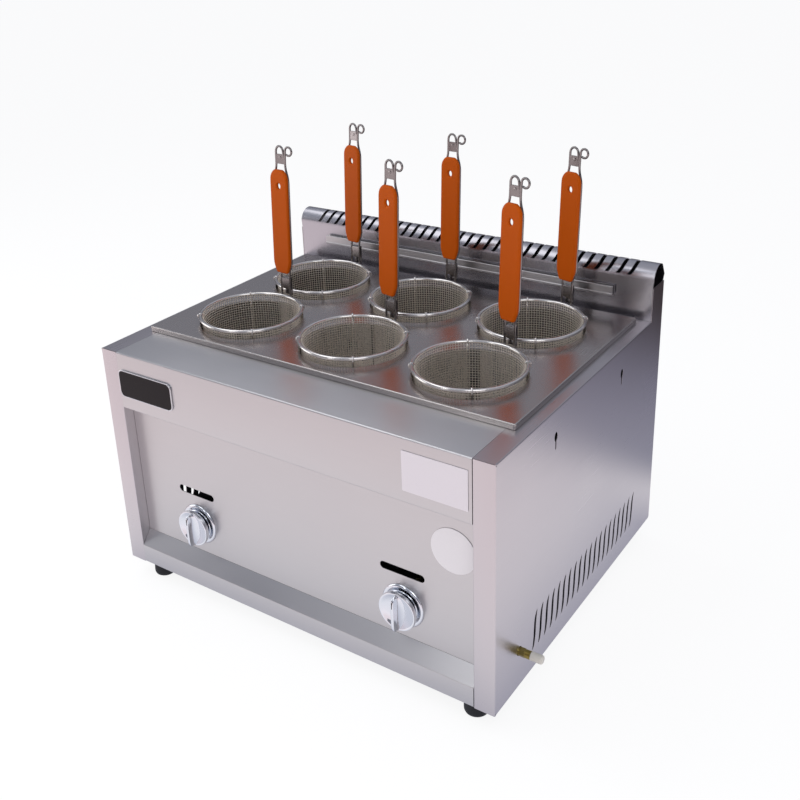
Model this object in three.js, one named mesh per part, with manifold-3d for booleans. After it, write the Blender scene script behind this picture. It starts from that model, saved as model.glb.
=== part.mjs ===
// A countertop gas pasta cooker: a folded sheet-metal cabinet with a water tank, a lift-off
// cover that holds six wire baskets, two gas burners with their knobs, and a slotted flue hood.
// Units are millimetres. +Z is up, the front faces -Y and +X is to the right.
import * as THREE from 'three';
import Module from 'manifold-3d';
import { mergeVertices } from 'three/addons/utils/BufferGeometryUtils.js';

const wasm = await Module();
wasm.setup();

// Sizes that many pieces share
const seam = 0.3; // gap between two pieces that touch
const sheet = 1; // wall of the folded stainless sheet
const overrun = 2; // how far a cutting tool runs past the faces it cuts
const weldBite = 0.6; // how deep one welded wire sinks into the next

// Cabinet
const cabinetWidth = 590;
const cabinetDepth = 469.5;
const cabinetHeight = 326.3;
const flangeWidth = 27.3; // front and top returns of the side panels
const footFlange = 9; // short returns under the side panels and the bottom rail
const recessDepth = 16; // control panel behind the front face
const fasciaHeight = 81.3;
const railFaceHeight = 27.5;
const railSlopeHeight = 18.5;

// Hood at the back
const hoodDepth = 38.3;
const hoodWallHeight = 56.7; // from the cabinet top to the start of the arch
const sideEarHeight = 47.2; // how far the side panels rise beside the hood
const archSegments = 6;
const flueSlotCount = 34;
const flueSlotMargin = 35.62; // from each end of the hood to the nearest slot
const flueSlotWidth = 5;
const flueSlotStart = 4; // from the start of the arch up to the slot
const flueSlotReach = 29.5; // from the front of the hood back to the end of a slot
const flueSlotLean = 7.5; // sideways shift of a slot from front to back

// Hanging rail on the hood
const railEndMargin = 54; // from each side of the cabinet
const railSheet = 1.2;
const railReach = 8; // how far the rail stands out from the hood
const railBottomAboveCabinet = 29.7;
const railLipHeight = 13;

// Louvres and keyholes in the side panels
const louvreCount = 20;
const firstLouvreY = 98;
const louvreRearMargin = 73.2; // from the last louvre to the back of the cabinet
const louvreBottom = 27;
const louvreHeight = 53.5;
const louvreWidth = 5.4;
const louvreLean = 10.7;
const keyholeShares = [0.3037, 0.7114]; // of the cabinet's depth
const keyholeDrop = 29.3; // below the cabinet top
const keyholeHeadWidth = 8;
const keyholeHeadHeight = 12;
const keyholeSlotWidth = 2.5;
const keyholeSlotLength = 10.5;
const keyholeSides = 10;

// Tank cover
const coverOverlap = 11.2; // onto the side flanges
const coverFront = 74.2;
const coverRearGap = 12.1; // to the hood
const coverRise = 7.5;
const coverHoleClearance = 1.6;
const holeSegments = 24;

// Tank and rack
const rimClearance = 0.6; // between the tank rim and the skirt of the cover
const tankClearance = 2.4; // between the tank wall and the flanges round it
const tankCornerRadius = 5;
const rackSheet = 1.2;
const rackHeight = 14;
const rackClearance = 4;
const rackSlotRows = 3;
const rackSlotColumns = 5;
const rackSlotWidth = 12;
const rackSlotLength = 70;

// Baskets
const basketSideMargin = 37; // from each side of the cabinet to the outer columns
const basketFrontMargin = 7.3; // from the front of the cover to the front row
const basketRearMargin = 15.6; // from the rear row to the back of the cover
const basketGap = 8.8; // from a ring to the middle between two baskets
const ringRise = 10.4; // centre of the rim ring above the cover
const ringWireRadius = 2.5;
const ringSides = 5;
const ribRadius = 1.2;
const ribSides = 4;
const ribBend = 15;
const ribBendSteps = 2;
const ribLoopStart = 8; // below the ring, where a rib starts to swing out
const ribLoopTurns = [-25, 35, 85, 130]; // degrees round the ring's wire
const ribDirections = [45, 135]; // degrees from the handle
const cupWall = 1;
const basketTurnsFront = [87, 81, 77]; // degrees from +X to each handle, left to right
const basketTurnsRear = [82, 84, 76];

// Basket handles
const handleWireRadius = 1.45;
const handleWireSides = 4;
const handleWireSpacing = 13; // between the two wires, below and above the grip
const handleLean = 2.6; // degrees backwards
const handleFoot = 5; // how far the wires run below the centre of the ring
const handleBite = 1.7; // how deep the wires sink into the ring at their weld
const gripBottom = 35.5;
const gripLength = 147.5;
const gripWidth = 30.4;
const gripNeckWidth = 25;
const gripBottomWidth = 20;
const gripTopWidth = 12.5;
const gripThickness = 5.5;
const gripNeckRise = 5;
const gripFlare = 14; // from the bottom of the grip to its full width
const gripShoulder = 12; // from the full width to the top of the grip
const gripChamfer = 1.2;
const gripHoleWidth = 6;
const gripHoleHeight = 8;
const gripHoleDrop = 23;
const gripHoleSides = 10;
const wireInset = 2.4; // wires behind the grip, in from its edges
const wireSpreadRise = 12;
const tieBottom = 8; // above the grip
const tieHeight = 14;
const tieSheet = 1.5;
const archRise = 26.6; // above the grip, where the left wire starts its arch
const archEndDrop = 10;
const archReturn = 3.1; // between the arch's free leg and the right wire
const archSteps = 5;
const eyeRise = 22.2; // centre of the eye above the grip
const eyeRadius = 5.4;
const eyeOffset = 13.15;
const eyeTurns = [180, 130, 80, 30, -20, -75, -130]; // degrees round the eye
const hookSheet = 1.2;
const hookTop = 28;
const hookPlateHeight = 17;
const hookGap = 5;
const hookTongueLength = 27;

// Feet
const footHeight = 28.4;
const footRadius = 15.5;
const footTopRadius = 14;
const footBaseRadius = 11;
const footRound = 4;
const footBossRadius = 6;
const footInsetX = 38;
const footInsetY = 26;
const footSegments = 12;

// Knobs, bezels and gas valves
const knobAcrossShare = 0.6133; // of the half width of the control panel
const knobUpShare = 0.2177; // of the height of the control panel
const knobRadius = 25.3;
const knobRimInset = 1; // rim of the knob behind the front face
const knobThickness = 8;
const knobRimWidth = 1.8;
const knobDish = 4.5;
const knobHubRadius = 9;
const knobBackRadius = 22;
const bladeWidth = 6.8;
const bladeReach = 8.2; // in front of the cabinet face
const bladeTip = 1.2; // beyond the knob's edge at the bottom
const bladeChamfer = 3;
const knobPush = 3;
const pushClearance = 0.5;
const knobSegments = 20;
const bezelRadius = 29;
const bezelNeckRadius = 20.5;
const bezelStepRadius = 25;
const bezelEdge = 1.2;
const stemRadius = 4;
const stemClearance = 0.3;
const stemSocketDepth = 3;
const stemSides = 10;
const stemReach = 20; // behind the control panel
const panelHoleRadius = 6.5;
const plungerLength = 12;
const valveRadius = 12;
const valveFlangeRadius = 16;
const valveFlange = 3;
const valveNeckRadius = 7;
const valveTail = 9; // valve body behind the manifold's centre
const valveSides = 14;
const jetRadius = 4;
const jetLength = 8;

// Flame windows in the control panel
const windowUpShare = 0.4572; // of the height of the control panel
const windowLength = 62;
const windowWidth = 10;
const windowEndSteps = 5;

// Gas manifold and inlet
const manifoldRadius = 8;
const manifoldY = 59;
const manifoldZ = 50.6;
const manifoldOverhang = 22; // past the left valve
const manifoldSides = 12;
const fittingCollarRadius = 5.5;
const fittingCollarLength = 14.5;
const nippleRadius = 4.2;
const nippleLength = 7;
const inletHoleRadius = 6;
const fittingInside = 10;
const capRadius = 5.4;
const capLength = 15;
const capWall = 0.8;
const fittingSides = 12;

// Burners and igniters
const burnerRadius = 14;
const burnerBoreRadius = 11;
const burnerBore = 12;
const burnerGap = 5; // from the gas jet to the burner's mouth
const burnerRise = 23; // burner bar above its mouth
const burnerMouthLength = 40;
const burnerBendLength = 35;
const burnerRearGap = 74.5; // to the back of the cabinet
const flameSpace = 44.1; // between a burner bar and the tank
const burnerSides = 10;
const burnerLegWidth = 24;
const burnerLegThickness = 2;
const burnerLegShares = [0.12, 0.88];
const portCount = 6;
const portWidth = 2;
const portLength = 16;
const portDepth = 3;
const igniterRadius = 3;
const igniterTipRadius = 1;
const igniterHeight = 26;
const igniterTipHeight = 10;
const igniterShare = 0.1; // place along the burner bar
const igniterClip = 2;
const igniterSides = 8;

// Tray under the burners
const traySideGap = 31.7; // to the line of the side flanges
const trayFront = 76;
const trayRearGap = 21.5; // to the back of the cabinet
const trayLip = 10;

// Drain at the back
const drainInset = 83.3; // from the left wall of the tank
const drainPipeRadius = 10.6;
const drainBoreRadius = 8;
const drainAboveFloor = 1.5;
const drainStub = 12;
const drainHoleClearance = 1.5;
const drainSides = 14;
const drainValveLength = 36;
const drainValveRadius = 13;
const drainBulgeRadius = 16;
const drainBulgeLength = 18;
const bonnetRadius = 6;
const bonnetHeight = 22;
const leverLength = 78;
const leverWidth = 13;
const leverThickness = 4;
const leverEyeRadius = 9;

// Plates and sticker, all bare
const badgeInset = 29; // from the left side of the cabinet
const badgeWidth = 96;
const badgeDrop = 23.3; // below the cabinet top
const badgeHeight = 39;
const badgeThickness = 2;
const badgeCorner = 8;
const labelInset = 32; // from the right side of the cabinet
const labelWidth = 83.4;
const labelDrop = 15.3; // below the cabinet top
const labelHeight = 50.5;
const labelThickness = 0.4;
const stickerInset = 61; // from the right side of the cabinet to its middle
const stickerUpShare = 0.7293; // of the height of the control panel
const stickerRadius = 29;
const cornerSteps = 3;

// Places that follow from the sizes above
const halfWidth = cabinetWidth / 2;
const insideX = halfWidth - sheet - seam;
const returnX = halfWidth - flangeWidth;
const bayX = returnX - seam;
const hoodFront = cabinetDepth - hoodDepth;
const archRadius = hoodDepth / 2;
const archY = cabinetDepth - archRadius;
const archZ = cabinetHeight + hoodWallHeight;
const flueSlotPitch = (cabinetWidth - 2 * flueSlotMargin) / (flueSlotCount - 1);
const railLength = cabinetWidth - 2 * railEndMargin;
const louvrePitch = (cabinetDepth - firstLouvreY - louvreRearMargin) / (louvreCount - 1);
const keyholeTop = cabinetHeight - keyholeDrop;
const coverHalfWidth = returnX + coverOverlap;
const coverRear = hoodFront - coverRearGap;
const coverTop = cabinetHeight + coverRise;
const rimInset = sheet + rimClearance;
const tankHalfWidth = returnX - tankClearance;
const rimWidth = coverHalfWidth - rimInset - tankHalfWidth;
const tankFront = coverFront + rimInset + rimWidth;
const tankRear = coverRear - rimInset - rimWidth;
const basketColumnPitch = (cabinetWidth - 2 * basketSideMargin) / basketTurnsFront.length;
const basketRowPitch = (coverRear - basketRearMargin - coverFront - basketFrontMargin) / 2;
const basketRowsCentre = coverFront + basketFrontMargin + basketRowPitch;
const ringOuterRadius = Math.min(basketColumnPitch, basketRowPitch) / 2 - basketGap;
const ringZ = coverTop + ringRise;
const ringRadius = ringOuterRadius - ringWireRadius;
const cupRadius = ringRadius - ringWireRadius - seam;
const ribPlace = cupRadius + seam + ribRadius;
const coverHoleRadius = ribPlace + ribRadius + coverHoleClearance;
const baseTop = sheet + seam + sheet;
const panelBottom = railFaceHeight + railSlopeHeight + seam;
const panelTop = cabinetHeight - fasciaHeight - seam;
const panelHeight = panelTop - panelBottom;
const knobOffset = knobAcrossShare * bayX;
const knobHeight = panelBottom + knobUpShare * panelHeight;
const windowHeight = panelBottom + windowUpShare * panelHeight;
const panelBack = recessDepth + sheet;
const knobBack = knobRimInset + knobThickness;
const bezelFront = knobBack + knobPush + pushClearance;
const stemEnd = panelBack + stemReach;
const stemFront = knobBack - stemSocketDepth + seam;
const valveFront = panelBack + seam;
const valveRear = manifoldY + valveTail;
const burnerFront = valveRear + jetLength + burnerGap;
const burnerBarFront = burnerFront + burnerMouthLength + burnerBendLength;
const burnerZ = knobHeight + burnerRise;
const burnerTop = burnerZ + burnerRadius;
const burnerEnd = cabinetDepth - burnerRearGap;
const tankFloor = burnerTop + flameSpace + sheet;
const rackTop = tankFloor + seam + rackHeight;
const basketDepth = ringZ - seam - rackTop; // from the centre of the rim ring to the lowest wire
const trayHalfWidth = returnX - traySideGap;
const trayRear = cabinetDepth - trayRearGap;
const trayFloor = baseTop + seam + sheet;
const drainOffset = drainInset - tankHalfWidth;
const drainZ = tankFloor + drainAboveFloor + drainBoreRadius;
const drainPipeEnd = cabinetDepth + drainStub;
const drainValveFront = drainPipeEnd + seam;
const drainValveRear = drainValveFront + drainValveLength;
const leverY = drainValveFront + drainValveLength / 2;
const leverZ = drainZ + bonnetHeight + seam;
const handleY = ringOuterRadius + handleWireRadius - handleBite;
const gripTop = gripBottom + gripLength;
const badgeLeft = badgeInset - halfWidth;
const badgeBottom = cabinetHeight - badgeDrop - badgeHeight;
const labelLeft = halfWidth - labelInset - labelWidth;
const labelBottom = cabinetHeight - labelDrop - labelHeight;
const stickerX = halfWidth - stickerInset;
const stickerZ = panelBottom + stickerUpShare * panelHeight;
const capFront = halfWidth + seam + fittingCollarLength + seam;
const capEnd = capFront + capLength;

const stainless = { color: 0xc3bcc0, roughness: 0.38, metalness: 0.9 };
const darkStainless = { color: 0x8d8c92, roughness: 0.3, metalness: 0.95 };
const wireSteel = { color: 0xb9b6b2, roughness: 0.3, metalness: 1 };
const meshSteel = { color: 0x8f8578, roughness: 0.5, metalness: 0.9 };
const gripPlastic = { color: 0xb4521c, roughness: 0.45, metalness: 0 };
const chrome = { color: 0xe2e4e8, roughness: 0.12, metalness: 1 };
const brass = { color: 0x9a8a4c, roughness: 0.35, metalness: 1 };
const castIron = { color: 0x3a3a3c, roughness: 0.75, metalness: 0.6 };
const blackRubber = { color: 0x151517, roughness: 0.8, metalness: 0 };
const blackPlastic = { color: 0x161214, roughness: 0.3, metalness: 0 };
const whitePlastic = { color: 0xd8d6cf, roughness: 0.5, metalness: 0 };
const silverFoil = { color: 0xc6c8d0, roughness: 0.4, metalness: 0.7 };
const galvanised = { color: 0xa4a7aa, roughness: 0.5, metalness: 0.9 };
const leverVinyl = { color: 0x9c2a22, roughness: 0.5, metalness: 0 };

const point = (x, y) => new THREE.Vector2(x, y);
const place = (x, y, z) => new THREE.Vector3(x, y, z);
const radians = (degrees) => THREE.MathUtils.degToRad(degrees);

// Solids

// A closed solid from a three.js geometry, facing out.
function solid(geometry) {
  const bare = geometry.clone();
  bare.deleteAttribute('normal');
  bare.deleteAttribute('uv');
  const merged = mergeVertices(bare);
  const corners = [];
  for (let i = 0; i < merged.index.count; i += 3) {
    const [a, b, c] = merged.index.array.slice(i, i + 3);
    if (a !== b && b !== c && c !== a) corners.push([a, b, c]);
  }
  const vertProperties = new Float32Array(merged.attributes.position.array);
  const build = (triangles) => {
    const triVerts = new Uint32Array(triangles.flat());
    return new wasm.Manifold(new wasm.Mesh({ numProp: 3, vertProperties, triVerts }));
  };
  const made = build(corners);
  return made.volume() < 0 ? build(corners.map(([a, b, c]) => [a, c, b])) : made;
}

const join = (...bodies) => bodies.reduce((whole, body) => whole.add(body));
const cut = (body, ...tools) => tools.reduce((left, tool) => left.subtract(tool), body);

function geometryOf(body, mirrored = false) {
  const mesh = body.getMesh();
  const geometry = new THREE.BufferGeometry();
  geometry.setAttribute('position', new THREE.BufferAttribute(mesh.vertProperties, 3));
  const index = mirrored ? mesh.triVerts.toReversed() : mesh.triVerts;
  geometry.setIndex(new THREE.BufferAttribute(index, 1));
  if (mirrored) geometry.scale(-1, 1, 1);
  return geometry;
}

function block(x0, x1, y0, y1, z0, z1) {
  const geometry = new THREE.BoxGeometry(x1 - x0, y1 - y0, z1 - z0);
  return solid(geometry.translate((x0 + x1) / 2, (y0 + y1) / 2, (z0 + z1) / 2));
}

const flat = (depth) => ({ depth, bevelEnabled: false });

// A shape drawn in X and Y, carried up from z0 to z1.
function upwards(shape, z0, z1) {
  return solid(new THREE.ExtrudeGeometry(shape, flat(z1 - z0)).translate(0, 0, z0));
}

// A shape drawn in Y and Z, carried sideways from x0 to x1.
function sideways(shape, x0, x1) {
  const turn = new THREE.Matrix4().makeBasis(place(0, 1, 0), place(0, 0, 1), place(1, 0, 0));
  return solid(new THREE.ExtrudeGeometry(shape, flat(x1 - x0)).applyMatrix4(turn).translate(x0, 0, 0));
}

// A shape drawn in X and Z, carried backwards from y0 to y1.
function backwards(shape, y0, y1) {
  const turn = new THREE.Matrix4().makeBasis(place(1, 0, 0), place(0, 0, 1), place(0, -1, 0));
  return solid(new THREE.ExtrudeGeometry(shape, flat(y1 - y0)).applyMatrix4(turn).translate(0, y1, 0));
}

const turned = (profile, segments) => new THREE.LatheGeometry(profile.map(([r, h]) => point(r, h)), segments);
const turnedAlongY = (profile, segments) => solid(turned(profile, segments));
const turnedAlongZ = (profile, segments) => solid(turned(profile, segments).rotateX(Math.PI / 2));
const rodProfile = (radius, from, to) => [[0, from], [radius, from], [radius, to], [0, to]];

function rodAlongY(x, z, radius, y0, y1, sides) {
  return solid(turned(rodProfile(radius, y0, y1), sides).translate(x, 0, z));
}

function rodAlongX(y, z, radius, x0, x1, sides) {
  return solid(turned(rodProfile(radius, x0, x1), sides).rotateZ(-Math.PI / 2).translate(0, y, z));
}

function rodAlongZ(x, y, radius, z0, z1, sides) {
  return solid(turned(rodProfile(radius, z0, z1), sides).rotateX(Math.PI / 2).translate(x, y, 0));
}

// Corner points of an arc, angles in radians.
function arc(x, y, radius, from, to, steps) {
  const angles = Array.from({ length: steps + 1 }, (_, i) => from + (to - from) * (i / steps));
  return angles.map((angle) => point(x + radius * Math.cos(angle), y + radius * Math.sin(angle)));
}

function roundedRectangle(x0, x1, y0, y1, radius) {
  const quarter = Math.PI / 2;
  return new THREE.Shape([
    ...arc(x1 - radius, y0 + radius, radius, -quarter, 0, cornerSteps),
    ...arc(x1 - radius, y1 - radius, radius, 0, quarter, cornerSteps),
    ...arc(x0 + radius, y1 - radius, radius, quarter, Math.PI, cornerSteps),
    ...arc(x0 + radius, y0 + radius, radius, Math.PI, Math.PI + quarter, cornerSteps),
  ]);
}

const leftOf = (a, b) => point(a.y - b.y, b.x - a.x).normalize();

// The section of a folded sheet: its outer line, thickened on the left.
function strip(line, thickness) {
  const last = line.length - 1;
  const inner = line.map((corner, i) => {
    const before = leftOf(line[Math.max(i - 1, 0)], line[Math.max(i, 1)]);
    const after = leftOf(line[Math.min(i, last - 1)], line[Math.min(i + 1, last)]);
    const mitre = before.add(after);
    return corner.clone().addScaledVector(mitre, (2 * thickness) / mitre.lengthSq());
  });
  return new THREE.Shape([...line, ...inner.reverse()]);
}

// A path through given places, for a bent wire.
class WirePath extends THREE.Curve {
  constructor(places) {
    super();
    this.places = places;
  }

  getPointAt(share) {
    return this.places[Math.round(share * (this.places.length - 1))].clone();
  }

  getTangentAt(share) {
    const last = this.places.length - 1;
    const i = Math.round(share * last);
    return this.places[Math.min(i + 1, last)].clone().sub(this.places[Math.max(i - 1, 0)]).normalize();
  }
}

function wire(places, radius, sides) {
  const round = new THREE.Shape(arc(0, 0, radius, 0, 2 * Math.PI, sides).slice(0, sides));
  return new THREE.ExtrudeGeometry(round, { steps: places.length - 1, extrudePath: new WirePath(places) });
}

const cooker = new THREE.Group();

function piece(name, geometry, look, parent = cooker) {
  const mesh = new THREE.Mesh(geometry, new THREE.MeshStandardMaterial(look));
  mesh.name = name;
  parent.add(mesh);
}

// Side panels

function louvre(y) {
  const top = louvreBottom + louvreHeight;
  const halfLean = louvreLean / 2;
  const halfSlot = louvreWidth / 2;
  const outline = new THREE.Shape([
    point(y - halfLean - halfSlot, louvreBottom),
    point(y - halfLean + halfSlot, louvreBottom),
    point(y + halfLean + halfSlot, top),
    point(y + halfLean - halfSlot, top),
  ]);
  return sideways(outline, insideX - overrun, halfWidth + overrun);
}

function keyhole(y) {
  const headZ = keyholeTop - keyholeHeadHeight / 2;
  const bottom = keyholeTop - keyholeHeadHeight - keyholeSlotLength;
  const head = turned(rodProfile(keyholeHeadWidth / 2, insideX - overrun, halfWidth + overrun), keyholeSides);
  head.rotateZ(-Math.PI / 2).scale(1, 1, keyholeHeadHeight / keyholeHeadWidth).translate(0, y, headZ);
  const half = keyholeSlotWidth / 2;
  const slot = block(insideX - overrun, halfWidth + overrun, y - half, y + half, bottom, headZ);
  return join(solid(head), slot);
}

function rightSidePanel(withInlet) {
  const top = cabinetHeight - sheet;
  const line = [
    point(returnX, recessDepth),
    point(returnX, 0),
    point(halfWidth, 0),
    point(halfWidth, cabinetDepth),
  ];
  const wall = upwards(strip(line, sheet), 0, top);
  const topFlange = block(returnX, halfWidth, 0, hoodFront - seam, top - sheet, cabinetHeight);
  const earTop = cabinetHeight + sideEarHeight;
  const earFront = hoodFront - seam - sheet;
  const ear = block(halfWidth - sheet, halfWidth, earFront, cabinetDepth, top - sheet, earTop);
  const bottomFlange = block(halfWidth - footFlange, halfWidth, 0, cabinetDepth, 0, sheet);
  const under = block(returnX - overrun, halfWidth - sheet, sheet, hoodFront, top - sheet - overrun, top);
  const trimmed = cut(topFlange, under);
  const holes = Array.from({ length: louvreCount }, (_, i) => louvre(firstLouvreY + i * louvrePitch));
  holes.push(...keyholeShares.map((share) => keyhole(share * cabinetDepth)));
  if (withInlet) {
    const from = insideX - overrun;
    holes.push(rodAlongX(manifoldY, manifoldZ, inletHoleRadius, from, halfWidth + overrun, fittingSides));
  }
  return cut(join(wall, trimmed, ear, bottomFlange), ...holes);
}

// Front pieces

function frontFascia() {
  const bottom = cabinetHeight - fasciaHeight;
  const line = [
    point(tankFront - tankClearance, cabinetHeight),
    point(0, cabinetHeight),
    point(0, bottom),
    point(recessDepth, bottom),
  ];
  return sideways(strip(line, sheet), -bayX, bayX);
}

function bottomRail() {
  const line = [
    point(recessDepth, railFaceHeight + railSlopeHeight),
    point(0, railFaceHeight),
    point(0, 0),
    point(footFlange, 0),
  ];
  return sideways(strip(line, sheet), -bayX, bayX);
}

function flameWindow(x) {
  const radius = windowWidth / 2;
  const reach = windowLength / 2 - radius;
  const quarter = Math.PI / 2;
  const outline = new THREE.Shape([
    ...arc(x + reach, windowHeight, radius, -quarter, quarter, windowEndSteps),
    ...arc(x - reach, windowHeight, radius, quarter, Math.PI + quarter, windowEndSteps),
  ]);
  return backwards(outline, recessDepth - overrun, panelBack + overrun);
}

function controlPanel() {
  const plate = block(-bayX, bayX, recessDepth, panelBack, panelBottom, panelTop);
  const holes = [-knobOffset, knobOffset].flatMap((x) => [
    flameWindow(x),
    rodAlongY(x, knobHeight, panelHoleRadius, recessDepth - overrun, panelBack + overrun, valveSides),
  ]);
  return cut(plate, ...holes);
}

// Base, back and feet

function basePlate() {
  return block(-insideX, insideX, recessDepth + seam, cabinetDepth - sheet - seam, sheet + seam, baseTop);
}

function backPanel() {
  const front = cabinetDepth - sheet;
  const plate = block(-insideX, insideX, front, cabinetDepth, sheet + seam, cabinetHeight - seam);
  const radius = drainPipeRadius + drainHoleClearance;
  const hole = rodAlongY(drainOffset, drainZ, radius, front - overrun, cabinetDepth + overrun, drainSides);
  return cut(plate, hole);
}

function foot() {
  return turnedAlongZ([
    [0, -footHeight],
    [footBaseRadius, -footHeight],
    [footRadius, footRound - footHeight],
    [footTopRadius, -seam],
    [footBossRadius, -seam],
    [footBossRadius, sheet],
    [0, sheet],
  ], footSegments);
}

// Flue hood and hanging rail

// A cutter for one slot over the top of the arch, leaning to the right towards the back.
function flueSlot(x) {
  const half = flueSlotWidth / 2;
  const front = hoodFront - overrun;
  const rear = hoodFront + flueSlotReach;
  const outline = new THREE.Shape([
    point(x - half, front),
    point(x + half, front),
    point(x + flueSlotLean + half, rear),
    point(x + flueSlotLean - half, rear),
  ]);
  return upwards(outline, archZ + flueSlotStart, archZ + archRadius + overrun);
}

function flueHood() {
  const shoulder = cabinetHeight + sideEarHeight + seam;
  const line = [
    point(cabinetDepth, shoulder),
    ...arc(archY, archZ, archRadius, 0, Math.PI, archSegments),
    point(hoodFront, shoulder),
  ];
  const arch = sideways(strip(line, sheet), -halfWidth, halfWidth);
  const wallTop = shoulder + sheet;
  const front = block(-insideX, insideX, hoodFront, hoodFront + sheet, cabinetHeight - sheet, wallTop);
  const back = block(-insideX, insideX, cabinetDepth - sheet, cabinetDepth, cabinetHeight, wallTop);
  const flangeFront = tankRear + tankClearance;
  const flange = block(-bayX, bayX, flangeFront, hoodFront + sheet, cabinetHeight - sheet, cabinetHeight);
  const firstX = -(flueSlotCount - 1) / 2 * flueSlotPitch;
  const slots = Array.from({ length: flueSlotCount }, (_, i) => flueSlot(firstX + i * flueSlotPitch));
  return cut(join(arch, front, back, flange), ...slots);
}

function hangingRail() {
  const back = hoodFront - seam;
  const front = hoodFront - railReach;
  const bottom = cabinetHeight + railBottomAboveCabinet;
  const top = bottom + railLipHeight;
  const line = [point(front, top), point(front, bottom), point(back, bottom), point(back, top)];
  return sideways(strip(line, railSheet), -railLength / 2, railLength / 2);
}

// Tank, rack and cover

function waterTank() {
  const rimBottom = cabinetHeight + seam;
  const rimTop = rimBottom + sheet;
  const edge = coverHalfWidth - rimInset;
  const rimRadius = tankCornerRadius + rimWidth;
  const rim = roundedRectangle(-edge, edge, coverFront + rimInset, coverRear - rimInset, rimRadius);
  const outer = roundedRectangle(-tankHalfWidth, tankHalfWidth, tankFront, tankRear, tankCornerRadius);
  const inX = tankHalfWidth - sheet;
  const inRear = tankRear - sheet;
  const inside = roundedRectangle(-inX, inX, tankFront + sheet, inRear, tankCornerRadius - sheet);
  const boreEnd = tankRear + overrun;
  const bore = rodAlongY(drainOffset, drainZ, drainBoreRadius, inRear - overrun, boreEnd, drainSides);
  const shell = join(upwards(outer, tankFloor - sheet, rimTop), upwards(rim, rimBottom, rimTop));
  return cut(shell, upwards(inside, tankFloor, rimTop + overrun), bore);
}

function basketRack() {
  const half = tankHalfWidth - sheet - rackClearance;
  const front = tankFront + sheet + rackClearance;
  const rear = tankRear - sheet - rackClearance;
  const inset = tankCornerRadius;
  const bottom = tankFloor + seam;
  const line = [
    point(half, bottom),
    point(half, rackTop),
    point(-half, rackTop),
    point(-half, bottom),
  ];
  const bent = backwards(strip(line, rackSheet), front + inset, rear - inset);
  const middle = block(inset - half, half - inset, front, rear, rackTop - rackSheet, rackTop);
  const halfLong = rackSlotLength / 2;
  const halfWide = rackSlotWidth / 2;
  const below = rackTop - rackSheet - overrun;
  const tools = [];
  for (let row = 0; row < rackSlotRows; row += 1) {
    for (let column = 0; column < rackSlotColumns; column += 1) {
      const x = ((column + 0.5) / rackSlotColumns - 0.5) * 2 * half;
      const y = front + ((row + 0.5) / rackSlotRows) * (rear - front);
      tools.push(block(x - halfLong, x + halfLong, y - halfWide, y + halfWide, below, rackTop + overrun));
    }
  }
  return cut(join(bent, middle), ...tools);
}

// The middle of each basket, left to right, front row first.
const basketTurns = [basketTurnsFront, basketTurnsRear];
const basketPlaces = basketTurns.flatMap((turns, row) => turns.map((turn, column) => ({
  x: (column - 1) * basketColumnPitch,
  y: basketRowsCentre + (row - 0.5) * basketRowPitch,
  turn,
})));

function tankCover() {
  const bottom = cabinetHeight + seam;
  const shell = block(-coverHalfWidth, coverHalfWidth, coverFront, coverRear, bottom, coverTop);
  const inX = coverHalfWidth - sheet;
  const hollowTop = coverTop - sheet;
  const hollow = block(-inX, inX, coverFront + sheet, coverRear - sheet, bottom - overrun, hollowTop);
  const above = coverTop + overrun;
  const holes = basketPlaces.map(({ x, y }) => rodAlongZ(x, y, coverHoleRadius, bottom, above, holeSegments));
  return cut(shell, hollow, ...holes);
}

// Baskets, drawn round their own axis with the rim ring's centre at zero height and the handle at +Y

// One rib, from its loop over the ring down one side, across the bottom and up to its other loop.
function ribWire(direction) {
  const low = ribRadius - basketDepth;
  const loop = ringWireRadius + ribRadius - weldBite;
  const half = [
    ...arc(ribPlace - ribBend, low + ribBend, ribBend, -Math.PI / 2, 0, ribBendSteps),
    point(ribPlace, -ribLoopStart),
    ...ribLoopTurns.map((turn) => {
      const angle = radians(turn);
      return point(ringRadius + loop * Math.cos(angle), loop * Math.sin(angle));
    }),
  ];
  const other = half.map(({ x, y }) => point(-x, y)).reverse();
  const line = [...other, point(0, low), ...half];
  const heading = radians(direction);
  const places = line.map(({ x, y }) => place(x * Math.sin(heading), x * Math.cos(heading), y));
  return solid(wire(places, ribRadius, ribSides));
}

const handleWire = (line) => wire(line.map(({ x, y }) => place(x, 0, y)), handleWireRadius, handleWireSides);

// Leans a handle piece back and sets it against the ring.
function seatHandle(geometry) {
  return solid(geometry.rotateX(-radians(handleLean)).translate(0, handleY, 0));
}

// The stretch of wire that both sides share: up from the ring, out behind the grip and in again.
function handleLine(side) {
  const near = (side * handleWireSpacing) / 2;
  const wide = side * (gripWidth / 2 - wireInset);
  return [
    point(near, -handleFoot),
    point(near, gripBottom + gripChamfer),
    point(wide, gripBottom + wireSpreadRise),
    point(wide, gripTop - gripShoulder),
    point(near, gripTop + gripChamfer),
  ];
}

function leftHandleWire() {
  const left = -handleWireSpacing / 2;
  const right = handleWireSpacing / 2 - archReturn;
  const middle = (left + right) / 2;
  const base = gripTop + archRise;
  const bow = arc(middle, base, (right - left) / 2, Math.PI, 0, archSteps);
  return handleWire([...handleLine(-1), ...bow, point(right, base - archEndDrop)]);
}

function rightHandleWire() {
  const height = gripTop + eyeRise;
  const eye = eyeTurns.map((turn) => {
    const angle = radians(turn);
    return point(eyeOffset + eyeRadius * Math.cos(angle), height + eyeRadius * Math.sin(angle));
  });
  return handleWire([...handleLine(1), ...eye]);
}

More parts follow.
